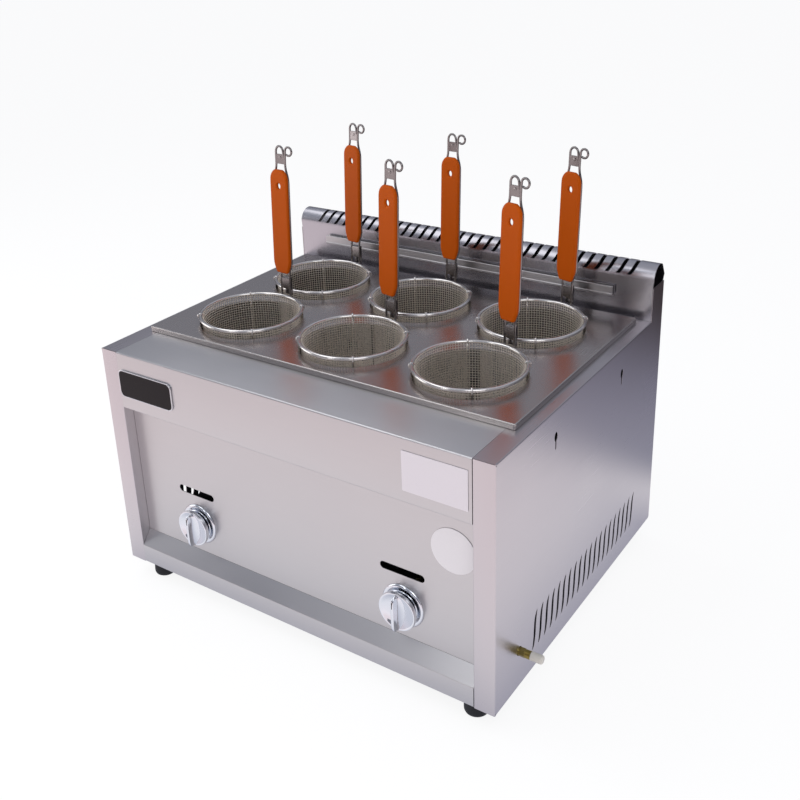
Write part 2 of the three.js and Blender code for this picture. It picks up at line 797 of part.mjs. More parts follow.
// The folded clip below the grip, which hangs a drained basket on the rail.
function hookClip() {
  const half = handleWireSpacing / 2 - handleWireRadius + weldBite;
  const front = -hookSheet / 2;
  const rear = hookSheet / 2 + hookGap + hookSheet;
  const line = [
    point(rear, hookTop - hookTongueLength),
    point(rear, hookTop),
    point(front, hookTop),
    point(front, hookTop - hookPlateHeight),
  ];
  const turn = new THREE.Matrix4().makeBasis(place(0, 1, 0), place(0, 0, 1), place(1, 0, 0));
  const geometry = new THREE.ExtrudeGeometry(strip(line, hookSheet), flat(2 * half));
  return geometry.applyMatrix4(turn).translate(-half, 0, 0);
}

function tiePlate() {
  const half = handleWireSpacing / 2 - handleWireRadius + weldBite;
  const geometry = new THREE.BoxGeometry(2 * half, tieSheet, tieHeight);
  return geometry.translate(0, 0, gripTop + tieBottom + tieHeight / 2);
}

function basketFrame() {
  const ring = solid(new THREE.TorusGeometry(ringRadius, ringWireRadius, ringSides, holeSegments));
  const handle = [leftHandleWire(), rightHandleWire(), hookClip(), tiePlate()].map(seatHandle);
  return join(ring, ...ribDirections.map(ribWire), ...handle);
}

function basketCup() {
  const floor = 2 * ribRadius + seam - basketDepth;
  const bend = ribBend - ribRadius - seam;
  const corner = (radius) => arc(cupRadius - bend, floor + bend, radius, -Math.PI / 2, 0, ribBendSteps)
    .map(({ x, y }) => [x, y]);
  return turnedAlongZ([
    [0, floor],
    ...corner(bend),
    [cupRadius, 0],
    [cupRadius - cupWall, 0],
    ...corner(bend - cupWall).reverse(),
    [0, floor + cupWall],
  ], holeSegments);
}

function basketGrip() {
  const half = [
    point(gripBottomWidth / 2, gripBottom),
    point(gripNeckWidth / 2, gripBottom + gripNeckRise),
    point(gripWidth / 2, gripBottom + gripFlare),
    point(gripWidth / 2, gripTop - gripShoulder),
    point(gripTopWidth / 2, gripTop),
  ];
  const other = half.map(({ x, y }) => point(-x, y)).reverse();
  const outline = new THREE.Shape([...half, ...other]);
  const hole = arc(0, 0, gripHoleWidth / 2, 2 * Math.PI, 0, gripHoleSides).slice(0, gripHoleSides);
  const stretch = gripHoleHeight / gripHoleWidth;
  outline.holes.push(new THREE.Path(hole.map(({ x, y }) => point(x, y * stretch + gripTop - gripHoleDrop))));
  const geometry = new THREE.ExtrudeGeometry(outline, {
    depth: gripThickness - 2 * gripChamfer,
    bevelThickness: gripChamfer,
    bevelSize: gripChamfer,
    bevelOffset: -gripChamfer,
    bevelSegments: 1,
  });
  const turn = new THREE.Matrix4().makeBasis(place(1, 0, 0), place(0, 0, 1), place(0, -1, 0));
  return seatHandle(geometry.applyMatrix4(turn).translate(0, -handleWireRadius - seam - gripChamfer, 0));
}

function addBaskets() {
  const frame = geometryOf(basketFrame());
  const cup = geometryOf(basketCup());
  const grip = geometryOf(basketGrip());
  basketPlaces.forEach(({ x, y, turn }, i) => {
    const basket = new THREE.Group();
    basket.position.set(x, y, ringZ);
    basket.rotation.z = radians(turn) - Math.PI / 2;
    const name = 'basket_' + (i + 1);
    piece(name + '_frame', frame, wireSteel, basket);
    piece(name + '_cup', cup, meshSteel, basket);
    piece(name + '_grip', grip, gripPlastic, basket);
    cooker.add(basket);
  });
}

// Gas controls, drawn round the knob's axis

function knob() {
  const rim = knobRimInset;
  const body = turnedAlongY([
    [0, rim + knobDish],
    [knobHubRadius, rim + knobDish],
    [knobRadius - 2 * knobRimWidth, rim + knobRimWidth],
    [knobRadius - knobRimWidth, rim],
    [knobRadius, rim + knobRimWidth / 2],
    [knobRadius, knobBack - knobRimWidth],
    [knobBackRadius, knobBack],
    [0, knobBack],
  ], knobSegments);
  const half = bladeWidth / 2;
  const shoulder = knobRadius - knobRimWidth;
  const blade = new THREE.Shape([
    point(knobBack - knobRimWidth, -shoulder),
    point(knobBack - knobRimWidth, shoulder),
    point(rim, knobRadius),
    point(-bladeReach + bladeChamfer, shoulder),
    point(-bladeReach, shoulder - bladeChamfer),
    point(-bladeReach, bladeChamfer - shoulder),
    point(-bladeReach + bladeChamfer, -knobRadius - bladeTip),
    point(rim, -knobRadius - bladeTip),
  ]);
  const socketEnd = knobBack - stemSocketDepth;
  const socket = rodAlongY(0, 0, stemRadius + stemClearance, socketEnd, knobBack + overrun, stemSides);
  return cut(join(body, sideways(blade, -half, half)), socket);
}

function knobBezel() {
  const back = recessDepth - seam;
  return turnedAlongY([
    [panelHoleRadius, back],
    [panelHoleRadius, bezelFront],
    [bezelNeckRadius, bezelFront],
    [bezelStepRadius, back - bezelEdge],
    [bezelRadius - bezelEdge, back - bezelEdge],
    [bezelRadius, back],
    [panelHoleRadius, back],
  ], knobSegments);
}

const valveStem = () => rodAlongY(0, 0, stemRadius, stemFront, stemEnd, stemSides);
const plungerFront = stemEnd + seam;
const plungerRear = plungerFront + plungerLength;
const valvePlunger = () => rodAlongY(0, 0, stemRadius, plungerFront, plungerRear, stemSides);

function valveBody() {
  const body = turnedAlongY([
    [0, valveFront],
    [valveFlangeRadius, valveFront],
    [valveFlangeRadius, valveFront + valveFlange],
    [valveRadius, valveFront + valveFlange],
    [valveRadius, valveRear],
    [jetRadius, valveRear],
    [jetRadius, valveRear + jetLength],
    [0, valveRear + jetLength],
  ], valveSides);
  const drop = manifoldZ + manifoldRadius + seam - knobHeight;
  const neck = rodAlongZ(0, manifoldY, valveNeckRadius, drop, 0, valveSides);
  const boreEnd = plungerRear + knobPush + pushClearance;
  const bore = rodAlongY(0, 0, stemRadius + stemClearance, valveFront - overrun, boreEnd, stemSides);
  return cut(join(body, neck), bore);
}

function addControls() {
  const parts = [
    ['_knob', geometryOf(knob()), chrome],
    ['_knob_bezel', geometryOf(knobBezel()), chrome],
    ['_valve_stem', geometryOf(valveStem()), brass],
    ['_valve_plunger', geometryOf(valvePlunger()), brass],
    ['_valve_body', geometryOf(valveBody()), brass],
  ];
  for (const [side, x] of [['left', -knobOffset], ['right', knobOffset]]) {
    const group = new THREE.Group();
    group.position.set(x, 0, knobHeight);
    parts.forEach(([name, geometry, look]) => piece(side + name, geometry, look, group));
    cooker.add(group);
  }
}

// Gas supply

function gasManifold() {
  const end = insideX - fittingInside - seam;
  return rodAlongX(manifoldY, manifoldZ, manifoldRadius, -knobOffset - manifoldOverhang, end, manifoldSides);
}

function inletFitting() {
  const inside = insideX - fittingInside;
  const collar = halfWidth + seam;
  const shoulder = collar + fittingCollarLength;
  const fitting = turned([
    [0, inside],
    [manifoldRadius, inside],
    [manifoldRadius, insideX],
    [fittingCollarRadius, insideX],
    [fittingCollarRadius, shoulder],
    [nippleRadius, shoulder],
    [nippleRadius, shoulder + nippleLength],
    [0, shoulder + nippleLength],
  ], fittingSides);
  return solid(fitting.rotateZ(-Math.PI / 2).translate(0, manifoldY, manifoldZ));
}

function inletCap() {
  const bore = nippleRadius + seam;
  const cap = turned([
    [0, capFront + nippleLength + seam],
    [bore, capFront + nippleLength + seam],
    [bore, capFront],
    [capRadius, capFront],
    [capRadius, capEnd - capWall],
    [capRadius - capWall, capEnd],
    [0, capEnd],
  ], fittingSides);
  return solid(cap.rotateZ(-Math.PI / 2).translate(0, manifoldY, manifoldZ));
}

// Burners

function burner() {
  const bend = burnerFront + burnerMouthLength;
  const places = [
    place(0, burnerFront, knobHeight),
    place(0, bend, knobHeight),
    place(0, burnerBarFront, burnerZ),
    place(0, burnerEnd, burnerZ),
  ];
  const tube = solid(wire(places, burnerRadius, burnerSides));
  const length = burnerEnd - burnerBarFront;
  const halfLeg = burnerLegWidth / 2;
  const legs = burnerLegShares.map((share) => {
    const y = burnerBarFront + share * length;
    return block(-halfLeg, halfLeg, y, y + burnerLegThickness, trayFloor + seam, burnerZ);
  });
  const ports = Array.from({ length: portCount }, (_, i) => {
    const y = burnerBarFront + ((i + 0.5) / portCount) * length;
    const half = portLength / 2;
    return block(-half, half, y, y + portWidth, burnerTop - portDepth, burnerTop + overrun);
  });
  const mouthEnd = burnerFront + burnerBore;
  const mouth = rodAlongY(0, knobHeight, burnerBoreRadius, burnerFront - overrun, mouthEnd, burnerSides);
  return cut(join(tube, ...legs), mouth, ...ports);
}

function igniter() {
  const y = burnerBarFront + igniterShare * (burnerEnd - burnerBarFront);
  const x = burnerRadius + seam + igniterClip + igniterRadius;
  const top = burnerZ + igniterHeight / 2;
  const body = rodAlongZ(x, y, igniterRadius, burnerZ - igniterHeight / 2, top, igniterSides);
  const tip = rodAlongZ(x, y, igniterTipRadius, top - igniterTipRadius, top + igniterTipHeight, igniterSides);
  const clipHalf = igniterRadius / 2;
  const clipLow = burnerZ - igniterClip;
  const clip = block(burnerRadius + seam, x, y - clipHalf, y + clipHalf, clipLow, burnerZ + igniterClip);
  return join(body, tip, clip);
}

function addBurners() {
  const burnerShape = geometryOf(burner());
  const igniterShape = geometryOf(igniter());
  for (const [side, x] of [['left', -knobOffset], ['right', knobOffset]]) {
    const group = new THREE.Group();
    group.position.x = x;
    piece(side + '_burner', burnerShape, castIron, group);
    piece(side + '_igniter', igniterShape, whitePlastic, group);
    cooker.add(group);
  }
}

function burnerTray() {
  const bottom = baseTop + seam;
  const shell = block(-trayHalfWidth, trayHalfWidth, trayFront, trayRear, bottom, bottom + trayLip);
  const inX = trayHalfWidth - sheet;
  const above = bottom + trayLip + overrun;
  const hollow = block(-inX, inX, trayFront + sheet, trayRear - sheet, trayFloor, above);
  return cut(shell, hollow);
}

// Drain

function drainPipe() {
  const pipe = rodAlongY(drainOffset, drainZ, drainPipeRadius, tankRear + seam, drainPipeEnd, drainSides);
  const boreEnd = drainPipeEnd + overrun;
  return cut(pipe, rodAlongY(drainOffset, drainZ, drainBoreRadius, tankRear - overrun, boreEnd, drainSides));
}

function drainValve() {
  const bulgeFront = leverY - drainBulgeLength / 2;
  const bulgeRear = leverY + drainBulgeLength / 2;
  const body = turned([
    [drainBoreRadius, drainValveFront],
    [drainValveRadius, drainValveFront],
    [drainValveRadius, bulgeFront],
    [drainBulgeRadius, leverY],
    [drainValveRadius, bulgeRear],
    [drainValveRadius, drainValveRear],
    [drainBoreRadius, drainValveRear],
    [drainBoreRadius, leverY],
    [drainBoreRadius, drainValveFront],
  ], drainSides);
  const bonnetFoot = drainZ + drainBoreRadius + sheet;
  const bonnetTop = drainZ + bonnetHeight;
  const bonnet = rodAlongZ(drainOffset, leverY, bonnetRadius, bonnetFoot, bonnetTop, drainSides);
  return join(solid(body.translate(drainOffset, 0, drainZ)), bonnet);
}

function drainLever() {
  const half = leverWidth / 2;
  const eye = rodAlongZ(drainOffset, leverY, leverEyeRadius, leverZ, leverZ + leverThickness, drainSides);
  const armEnd = drainOffset + leverLength;
  const arm = block(drainOffset, armEnd, leverY - half, leverY + half, leverZ, leverZ + leverThickness);
  return join(eye, arm);
}

// Bare plates and sticker

function frontPlate(left, width, bottom, height, thickness, corner) {
  const outline = roundedRectangle(left, left + width, bottom, bottom + height, corner);
  return backwards(outline, -seam - thickness, -seam);
}

function badgePlate() {
  return frontPlate(badgeLeft, badgeWidth, badgeBottom, badgeHeight, badgeThickness, badgeCorner);
}

function labelPlate() {
  const front = -seam - labelThickness;
  return block(labelLeft, labelLeft + labelWidth, front, -seam, labelBottom, labelBottom + labelHeight);
}

function roundSticker() {
  const face = recessDepth - seam;
  return rodAlongY(stickerX, stickerZ, stickerRadius, face - labelThickness, face, holeSegments);
}

// The whole cooker

piece('left_side_panel', geometryOf(rightSidePanel(false), true), stainless);
piece('right_side_panel', geometryOf(rightSidePanel(true)), stainless);
piece('front_fascia', geometryOf(frontFascia()), stainless);
piece('control_panel', geometryOf(controlPanel()), stainless);
piece('bottom_rail', geometryOf(bottomRail()), stainless);
piece('base_plate', geometryOf(basePlate()), galvanised);
piece('back_panel', geometryOf(backPanel()), stainless);
piece('flue_hood', geometryOf(flueHood()), stainless);
piece('hanging_rail', geometryOf(hangingRail()), stainless);
piece('water_tank', geometryOf(waterTank()), darkStainless);
piece('basket_rack', geometryOf(basketRack()), darkStainless);
piece('tank_cover', geometryOf(tankCover()), darkStainless);
piece('burner_tray', geometryOf(burnerTray()), galvanised);
piece('gas_manifold', geometryOf(gasManifold()), galvanised);
piece('inlet_fitting', geometryOf(inletFitting()), brass);
piece('inlet_cap', geometryOf(inletCap()), whitePlastic);
piece('drain_pipe', geometryOf(drainPipe()), darkStainless);
piece('drain_valve', geometryOf(drainValve()), brass);
piece('drain_lever', geometryOf(drainLever()), leverVinyl);
piece('badge_plate', geometryOf(badgePlate()), blackPlastic);
piece('label_plate', geometryOf(labelPlate()), silverFoil);
piece('round_sticker', geometryOf(roundSticker()), silverFoil);
addBurners();
addControls();
addBaskets();

const footShape = geometryOf(foot());
const footX = halfWidth - footInsetX;
for (const [name, x, y] of [
  ['foot_front_left', -footX, footInsetY],
  ['foot_front_right', footX, footInsetY],
  ['foot_rear_left', -footX, cabinetDepth - footInsetY],
  ['foot_rear_right', footX, cabinetDepth - footInsetY],
]) {
  const corner = new THREE.Group();
  corner.position.set(x, y, 0);
  piece(name, footShape, blackRubber, corner);
  cooker.add(corner);
}

// The origin is the middle of the whole outline on the surface that the feet stand on.
const middleX = (capEnd - halfWidth) / 2;
const middleY = (drainValveRear - bladeReach) / 2;
cooker.position.set(-middleX, -middleY, footHeight);

const pastaCooker = new THREE.Group();
pastaCooker.add(cooker);

export default pastaCooker;
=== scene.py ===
import math

import bpy
from mathutils import Matrix, Vector


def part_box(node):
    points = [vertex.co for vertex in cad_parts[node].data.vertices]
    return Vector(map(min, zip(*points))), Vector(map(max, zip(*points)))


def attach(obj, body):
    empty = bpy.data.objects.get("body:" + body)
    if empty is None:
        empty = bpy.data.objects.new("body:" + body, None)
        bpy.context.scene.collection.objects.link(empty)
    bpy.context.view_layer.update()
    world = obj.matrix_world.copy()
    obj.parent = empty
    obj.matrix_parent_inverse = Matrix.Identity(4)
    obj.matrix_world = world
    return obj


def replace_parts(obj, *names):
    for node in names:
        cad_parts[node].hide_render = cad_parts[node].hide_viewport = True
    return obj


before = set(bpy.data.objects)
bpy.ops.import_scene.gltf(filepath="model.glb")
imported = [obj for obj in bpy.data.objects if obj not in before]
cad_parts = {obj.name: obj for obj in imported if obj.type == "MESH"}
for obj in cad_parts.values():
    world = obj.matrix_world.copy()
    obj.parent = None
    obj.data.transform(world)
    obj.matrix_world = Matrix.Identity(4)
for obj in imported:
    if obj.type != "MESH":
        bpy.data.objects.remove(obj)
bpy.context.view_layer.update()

# The studio: a wide white floor under soft light, in a grey room that only the steel shows. The
# camera stands in front of the right corner and looks slightly down, as in the photograph.
cabinet_half_width = 0.295
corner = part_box("left_side_panel")[0]
cabinet_origin = Vector((corner.x + cabinet_half_width, corner.y, corner.z))


def at(x, y, z):
    """A place in the cabinet's own millimetres, as a place in the frame."""
    return cabinet_origin + Vector((x, y, z)) / 1000


def rgb(code):
    """An sRGB hex colour as linear values with alpha."""
    parts = [int(code[i:i + 2], 16) / 255 for i in (1, 3, 5)]
    linear = [v / 12.92 if v <= 0.04045 else ((v + 0.055) / 1.055) ** 2.4 for v in parts]
    return (*linear, 1.0)


def node(tree, kind, settings=None, **links):
    """Adds a node, sets its properties, and fills or links its inputs by name."""
    made = tree.nodes.new(kind)
    for key, value in (settings or {}).items():
        setattr(made, key, value)
    for key, value in links.items():
        name = int(key[1:]) if key[0] == "_" else key.replace("_", " ")
        if isinstance(value, bpy.types.NodeSocket):
            tree.links.new(value, made.inputs[name])
        else:
            made.inputs[name].default_value = value
    return made


def empty_material(name):
    """A new material and its node tree, with no nodes yet."""
    made = bpy.data.materials.new(name)
    made.use_nodes = True
    made.node_tree.nodes.clear()
    return made, made.node_tree


camera_place = at(732.9, -806.8, 868.4)
camera_azimuth, camera_elevation, camera_roll = map(math.radians, (35.572, 21.485, -2.446))
image_size = 800
focal_pixels = 1032.2
centre_column, centre_row = 376.76, 301.91
camera_data = bpy.data.cameras.new("camera")
camera_data.sensor_width = 36
camera_data.lens = focal_pixels / image_size * camera_data.sensor_width
camera_data.shift_x = 0.5 - centre_column / image_size
camera_data.shift_y = centre_row / image_size - 0.5
camera_data.clip_start, camera_data.clip_end = 0.05, 60
camera = bpy.data.objects.new("camera", camera_data)
bpy.context.scene.collection.objects.link(camera)
back = Vector((
    math.sin(camera_azimuth) * math.cos(camera_elevation),
    -math.cos(camera_azimuth) * math.cos(camera_elevation),
    math.sin(camera_elevation),
))
right = (-back).cross(Vector((0, 0, 1))).normalized()
up = right.cross(-back)
rolled_right = right * math.cos(camera_roll) + up * math.sin(camera_roll)
rolled_up = up * math.cos(camera_roll) - right * math.sin(camera_roll)
camera_turn = Matrix((rolled_right, rolled_up, back)).transposed().to_4x4()
camera.matrix_world = Matrix.Translation(camera_place) @ camera_turn
bpy.context.scene.camera = camera
bpy.context.scene.view_settings.view_transform = "Standard"

floor_mesh = bpy.data.meshes.new("studio_floor")
reach = 14
floor_corners = [(-reach, -reach, 0), (reach, -reach, 0), (reach, reach, 0), (-reach, reach, 0)]
floor_mesh.from_pydata(floor_corners, [], [(0, 1, 2, 3)])
studio_floor = bpy.data.objects.new("studio_floor", floor_mesh)
bpy.context.scene.collection.objects.link(studio_floor)
floor_paint, tree = empty_material("white paper on the studio floor")
matt = node(tree, "ShaderNodeBsdfDiffuse", Color=rgb("#f4f3f3"))
glow = node(tree, "ShaderNodeEmission", Color=(1, 1, 1, 1), Strength=1.1)
seen_floor = node(tree, "ShaderNodeMixShader", _0=0.8, _1=matt.outputs[0], _2=glow.outputs[0])
# For all but camera rays the floor glows with painted light that the steel shows: white paper under a painted
# pool of light that fades out behind the cooker, then a grey floor, then a dark one.
place = node(tree, "ShaderNodeTexCoord").outputs["Object"]
ground = node(tree, "ShaderNodeSeparateXYZ", Vector=place)
behind = node(tree, "ShaderNodeMapRange", Value=ground.outputs["Y"], _1=0.0, _2=2.0, _3=0.0, _4=1.0)
painted_light_pool = node(tree, "ShaderNodeValToRGB", Fac=behind.outputs["Result"])
bands = painted_light_pool.color_ramp.elements
bands[0].position, bands[0].color = 0.165, rgb("#ffffff")
bands[1].position, bands[1].color = 0.52, rgb("#3a3534")
for position, colour in ((0.21, "#a6abb8"), (0.36, "#8c93a3")):
    band = bands.new(position)
    band.color = rgb(colour)
# Close to the cooker the paper is darkened with painted shade that stands in for the cooker's shadow.
from_middle = node(tree, "ShaderNodeVectorMath", {"operation": "ABSOLUTE"}, _0=place)
from_walls = node(tree, "ShaderNodeVectorMath", {"operation": "SUBTRACT"},
                  _0=from_middle.outputs[0], _1=(cabinet_half_width, 0.235, 0))
outside = node(tree, "ShaderNodeVectorMath", {"operation": "MAXIMUM"},
               _0=from_walls.outputs[0], _1=(0, 0, 0))
gap = node(tree, "ShaderNodeVectorMath", {"operation": "LENGTH"}, _0=outside.outputs[0])
shade = node(tree, "ShaderNodeValToRGB", Fac=gap.outputs["Value"])
painted_shade_tones = shade.color_ramp.elements
painted_shade_tones[0].position, painted_shade_tones[0].color = 0.0, rgb("#b4b6c4")
painted_shade_tones[1].position, painted_shade_tones[1].color = 0.6, rgb("#f3e6e8")
for position, colour in ((0.12, "#ecebef"), (0.3, "#f8f1f4")):
    painted_shade_tone = painted_shade_tones.new(position)
    painted_shade_tone.color = rgb(colour)
# The paper's colour: the painted pool of light times the painted shade.
paper = node(tree, "ShaderNodeMix", {"data_type": "RGBA", "blend_type": "MULTIPLY"}, _0=1.0,
             _6=painted_light_pool.outputs["Color"], _7=shade.outputs["Color"]).outputs["Result"]
# The floor glows here though it is no lamp: painted light.
painted_glow = node(tree, "ShaderNodeEmission", Color=paper, Strength=1.25)
lit = node(tree, "ShaderNodeBsdfDiffuse", Color=paper)
seen_in_steel = node(tree, "ShaderNodeMixShader", _0=0.85, _1=lit.outputs[0], _2=painted_glow.outputs[0])
ray = node(tree, "ShaderNodeLightPath").outputs["Is Camera Ray"]
floor_mix = node(tree, "ShaderNodeMixShader", _0=ray, _1=seen_in_steel.outputs[0], _2=seen_floor.outputs[0])
node(tree, "ShaderNodeOutputMaterial", Surface=floor_mix.outputs[0])
floor_mesh.materials.append(floor_paint)

world = bpy.data.worlds.new("studio")
bpy.context.scene.world = world
world.use_nodes = True
tree = world.node_tree
tree.nodes.clear()
direction = node(tree, "ShaderNodeTexCoord").outputs["Generated"]
height = node(tree, "ShaderNodeSeparateXYZ", Vector=direction).outputs["Z"]
walls = node(tree, "ShaderNodeValToRGB", Fac=height)
steps = walls.color_ramp.elements
steps[0].position, steps[0].color = 0.0, rgb("#7c7c84")
steps[1].position, steps[1].color = 1.0, rgb("#bec0c8")
for position, colour in ((0.36, "#8b8d97"), (0.7, "#b4b9c5")):
    step = steps.new(position)
    step.color = rgb(colour)
room = node(tree, "ShaderNodeBackground", Color=walls.outputs["Color"], Strength=1.0)
white = node(tree, "ShaderNodeBackground", Color=(1, 1, 1, 1), Strength=1.0)
ray = node(tree, "ShaderNodeLightPath").outputs["Is Camera Ray"]
seen = node(tree, "ShaderNodeMixShader", _0=ray, _1=room.outputs[0], _2=white.outputs[0])
node(tree, "ShaderNodeOutputWorld", Surface=seen.outputs[0])


def lamp(name, place, target, width, height, power):
    """A soft rectangular light. width and height are in metres, power in watts."""
    data = bpy.data.lights.new(name, "AREA")
    data.shape, data.size, data.size_y, data.energy = "RECTANGLE", width, height, power
    made = bpy.data.objects.new(name, data)
    made.location = place
    made.rotation_euler = (target - place).to_track_quat("-Z", "Y").to_euler()
    bpy.context.scene.collection.objects.link(made)


cooker_middle = at(0, 235, 160)
lamp("long_softbox_over_the_front", at(-900, -50, 1950), cooker_middle, 2.0, 0.8, 7)
lamp("softbox_over_the_camera", at(1300, -1100, 1900), cooker_middle, 1.2, 1.2, 9)
lamp("softbox_on_the_left", at(-2000, -500, 700), cooker_middle, 1.2, 1.2, 8)
lamp("narrow_softbox_before_the_hood", at(-250, -1150, 1050), at(295, 431, 360), 0.2, 1.0, 1.2)

# Cabinet panels: 430 stainless sheet, 1 mm thick, with a brushed grain along its length. Each
# is cut by laser, folded on a press brake and spot welded behind, so its folds are tight and round.


def add_piece(name, mesh, material, body, smooth=35, place=Matrix()):
    """A mesh as a piece of the object, smooth except across folds sharper than the given angle."""
    mesh.materials.clear()
    mesh.materials.append(material)
    mesh.polygons.foreach_set("use_smooth", [True] * len(mesh.polygons))
    mesh.set_sharp_from_angle(angle=math.radians(smooth))
    made = bpy.data.objects.new(name, mesh)
    bpy.context.scene.collection.objects.link(made)
    made.matrix_world = place
    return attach(made, body)


def arc(a, b, radius, degrees, squash=1.0):
    """Points around (a, b) at the given angles. squash makes an oval of it."""
    turns = [math.radians(d) for d in degrees]
    return [(a + radius * math.cos(turn), b + radius * squash * math.sin(turn)) for turn in turns]


def circle(a, b, radius, count=40):
    return arc(a, b, radius, [360 * i / count for i in range(count)])


def mesh_from(name, places, faces):
    """A mesh from places in metres and the faces between them."""
    made = bpy.data.meshes.new(name)
    made.from_pydata([tuple(p) for p in places], [], faces)
    made.validate()
    made.update()
    return made


def rounded(line, radius, steps=5):
    """An open line in two measures, with each inner corner turned into an arc."""
    out = [Vector(line[0])]
    for before, here, after in zip(line, line[1:], line[2:]):
        here = Vector(here)
        back_leg, ahead_leg = Vector(before) - here, Vector(after) - here
        a, b = back_leg.normalized(), ahead_leg.normalized()
        half = a.angle(b) / 2
        cut = min(radius / math.tan(half), 0.49 * back_leg.length, 0.49 * ahead_leg.length)
        middle = here + (a + b).normalized() * cut / math.cos(half)
        start, end = here + a * cut - middle, here + b * cut - middle
        turn = math.atan2(start.cross(end), start.dot(end))
        for i in range(steps + 1):
            out.append(middle + Matrix.Rotation(turn * i / steps, 2) @ start)
    out.append(Vector(line[-1]))
    return out


def sheet_strip(line, thickness):
    """The closed outline of a folded sheet, from its outer line, with the metal on its left."""
    inner = []
    last = len(line) - 1
    for i, here in enumerate(line):
        before = (line[max(i, 1)] - line[max(i - 1, 0)]).normalized()
        after = (line[min(i + 1, last)] - line[min(i, last - 1)]).normalized()
        normal = Vector((-before.y - after.y, before.x + after.x))
        inner.append(here + normal * 2 * thickness / normal.length_squared)
    return line + inner[::-1]


def folded_mesh(name, line, thickness, ends, place):
    """A folded strip of sheet between two ends. place turns (along, a, b) into a place."""
    outline = sheet_strip(line, thickness)
    count = len(outline)
    places = [place(end, p.x, p.y) for end in ends for p in outline]
    faces = []
    for i in range(count):
        j = (i + 1) % count
        faces.append((i, j, j + count, i + count))
    for i in range(count // 2 - 1):
        quad = (i, i + 1, count - 2 - i, count - 1 - i)
        faces.append(quad[::-1])
        faces.append(tuple(k + count for k in quad))
    return mesh_from(name, places, faces)


def slab_mesh(name, outlines, thickness, edge, place, steps=2):
    """A flat plate with rounded edges and any holes. place turns (a, b, depth) into a place."""
    curve = bpy.data.curves.new(name, "CURVE")
    curve.dimensions, curve.fill_mode = "2D", "BOTH"
    curve.extrude = (thickness / 2 - edge) / 1000
    curve.bevel_depth, curve.bevel_resolution, curve.offset = edge / 1000, steps, -edge / 1000
    for outline in outlines:
        spline = curve.splines.new("POLY")
        spline.points.add(len(outline) - 1)
        for target, (a, b) in zip(spline.points, outline):
            target.co = (a / 1000, b / 1000, 0, 1)
        spline.use_cyclic_u = True
    holder = bpy.data.objects.new(name, curve)
    made = bpy.data.meshes.new_from_object(holder)
    bpy.data.objects.remove(holder)
    made.name = name
    for vertex in made.vertices:
        a, b, depth = vertex.co * 1000
        vertex.co = place(a, b, depth)
    return made


def joined(name, meshes):
    """Several meshes as one."""
    places, faces = [], []
    for mesh in meshes:
        start = len(places)
        places += [v.co.copy() for v in mesh.vertices]
        faces += [tuple(start + i for i in face.vertices) for face in mesh.polygons]
    return mesh_from(name, places, faces)


def steel(name, colour, roughness, grain, smear, bump=0.06, along=None):
    """Scratched metal. grain holds the millimetres between scratches along X, Y and Z, smear is
    how much the roughness changes, and along is the way that a sheet is brushed, if it is."""
    made, tree = empty_material(name)
    place = node(tree, "ShaderNodeTexCoord").outputs["Object"]
    stretched = node(tree, "ShaderNodeMapping", Vector=place, Scale=[1000 / g for g in grain])
    fine = node(tree, "ShaderNodeTexNoise", Vector=stretched.outputs[0], Scale=1.0, Detail=2.0, Roughness=0.6)
    scratches = fine.outputs["Fac"]
    coarse = node(tree, "ShaderNodeTexNoise", Vector=place, Scale=7.0, Detail=2.0, Roughness=0.5)
    clouds = coarse.outputs["Fac"]
    mixed = node(tree, "ShaderNodeMath", {"operation": "ADD"}, _0=scratches, _1=clouds)
    rough = node(tree, "ShaderNodeMapRange", Value=mixed.outputs[0],
                 _1=0.6, _2=1.4, _3=roughness - smear, _4=roughness + smear)
    dark = tuple(v * 0.93 for v in rgb(colour)[:3]) + (1.0,)
    tint = node(tree, "ShaderNodeMix", {"data_type": "RGBA"}, _0=clouds, _6=dark, _7=rgb(colour))
    relief = node(tree, "ShaderNodeBump", Strength=bump, Distance=0.0002, Height=scratches)
    shader = node(tree, "ShaderNodeBsdfPrincipled", Base_Color=tint.outputs["Result"], Metallic=1.0,
                  Roughness=rough.outputs["Result"], Normal=relief.outputs["Normal"])
    if along:
        outwards = node(tree, "ShaderNodeNewGeometry").outputs["Normal"]
        over_grain = node(tree, "ShaderNodeVectorMath", {"operation": "CROSS_PRODUCT"}, _0=outwards, _1=along)
        unit = node(tree, "ShaderNodeVectorMath", {"operation": "NORMALIZE"}, _0=over_grain.outputs["Vector"])
        tree.links.new(unit.outputs["Vector"], shader.inputs["Tangent"])
        shader.inputs["Anisotropic"].default_value = 0.6
    node(tree, "ShaderNodeOutputMaterial", Surface=shader.outputs[0])
    return made


# Brushed 430 stainless: soft, stretched reflections with a faint warm tint. The real scratches
# are about 0.1 mm apart, drawn at about 1 mm so that they show.
brushed_front = steel("brushed 430 stainless, grain across", "#cccacb", 0.34, (60, 1.1, 1.1), 0.05,
                      along=(1, 0, 0))
brushed_side = steel("brushed 430 stainless, grain front to back", "#cdc8cb", 0.3, (1.1, 60, 1.1), 0.04,
                     along=(0, 1, 0))

# In millimetres: the sheet, the play between two sheets, the outer radius of a tight fold, and
# how far a flat wall stops short of its folded corner.
sheet, play, fold, seam = 1.0, 0.3, 1.3, 2.7
side_x = cabinet_half_width * 1000
return_x = 267.7
bay_x = return_x - play
inside_x = side_x - sheet - play
cabinet_depth, cabinet_height = 469.5, 326.3
hood_front = 431.2
ear_height = 373.5
inlet_y, inlet_z = 59, 50.6
louvre_first, louvre_pitch, louvre_count = 98, 15.7, 20
keyhole_places = (142.6, 334)


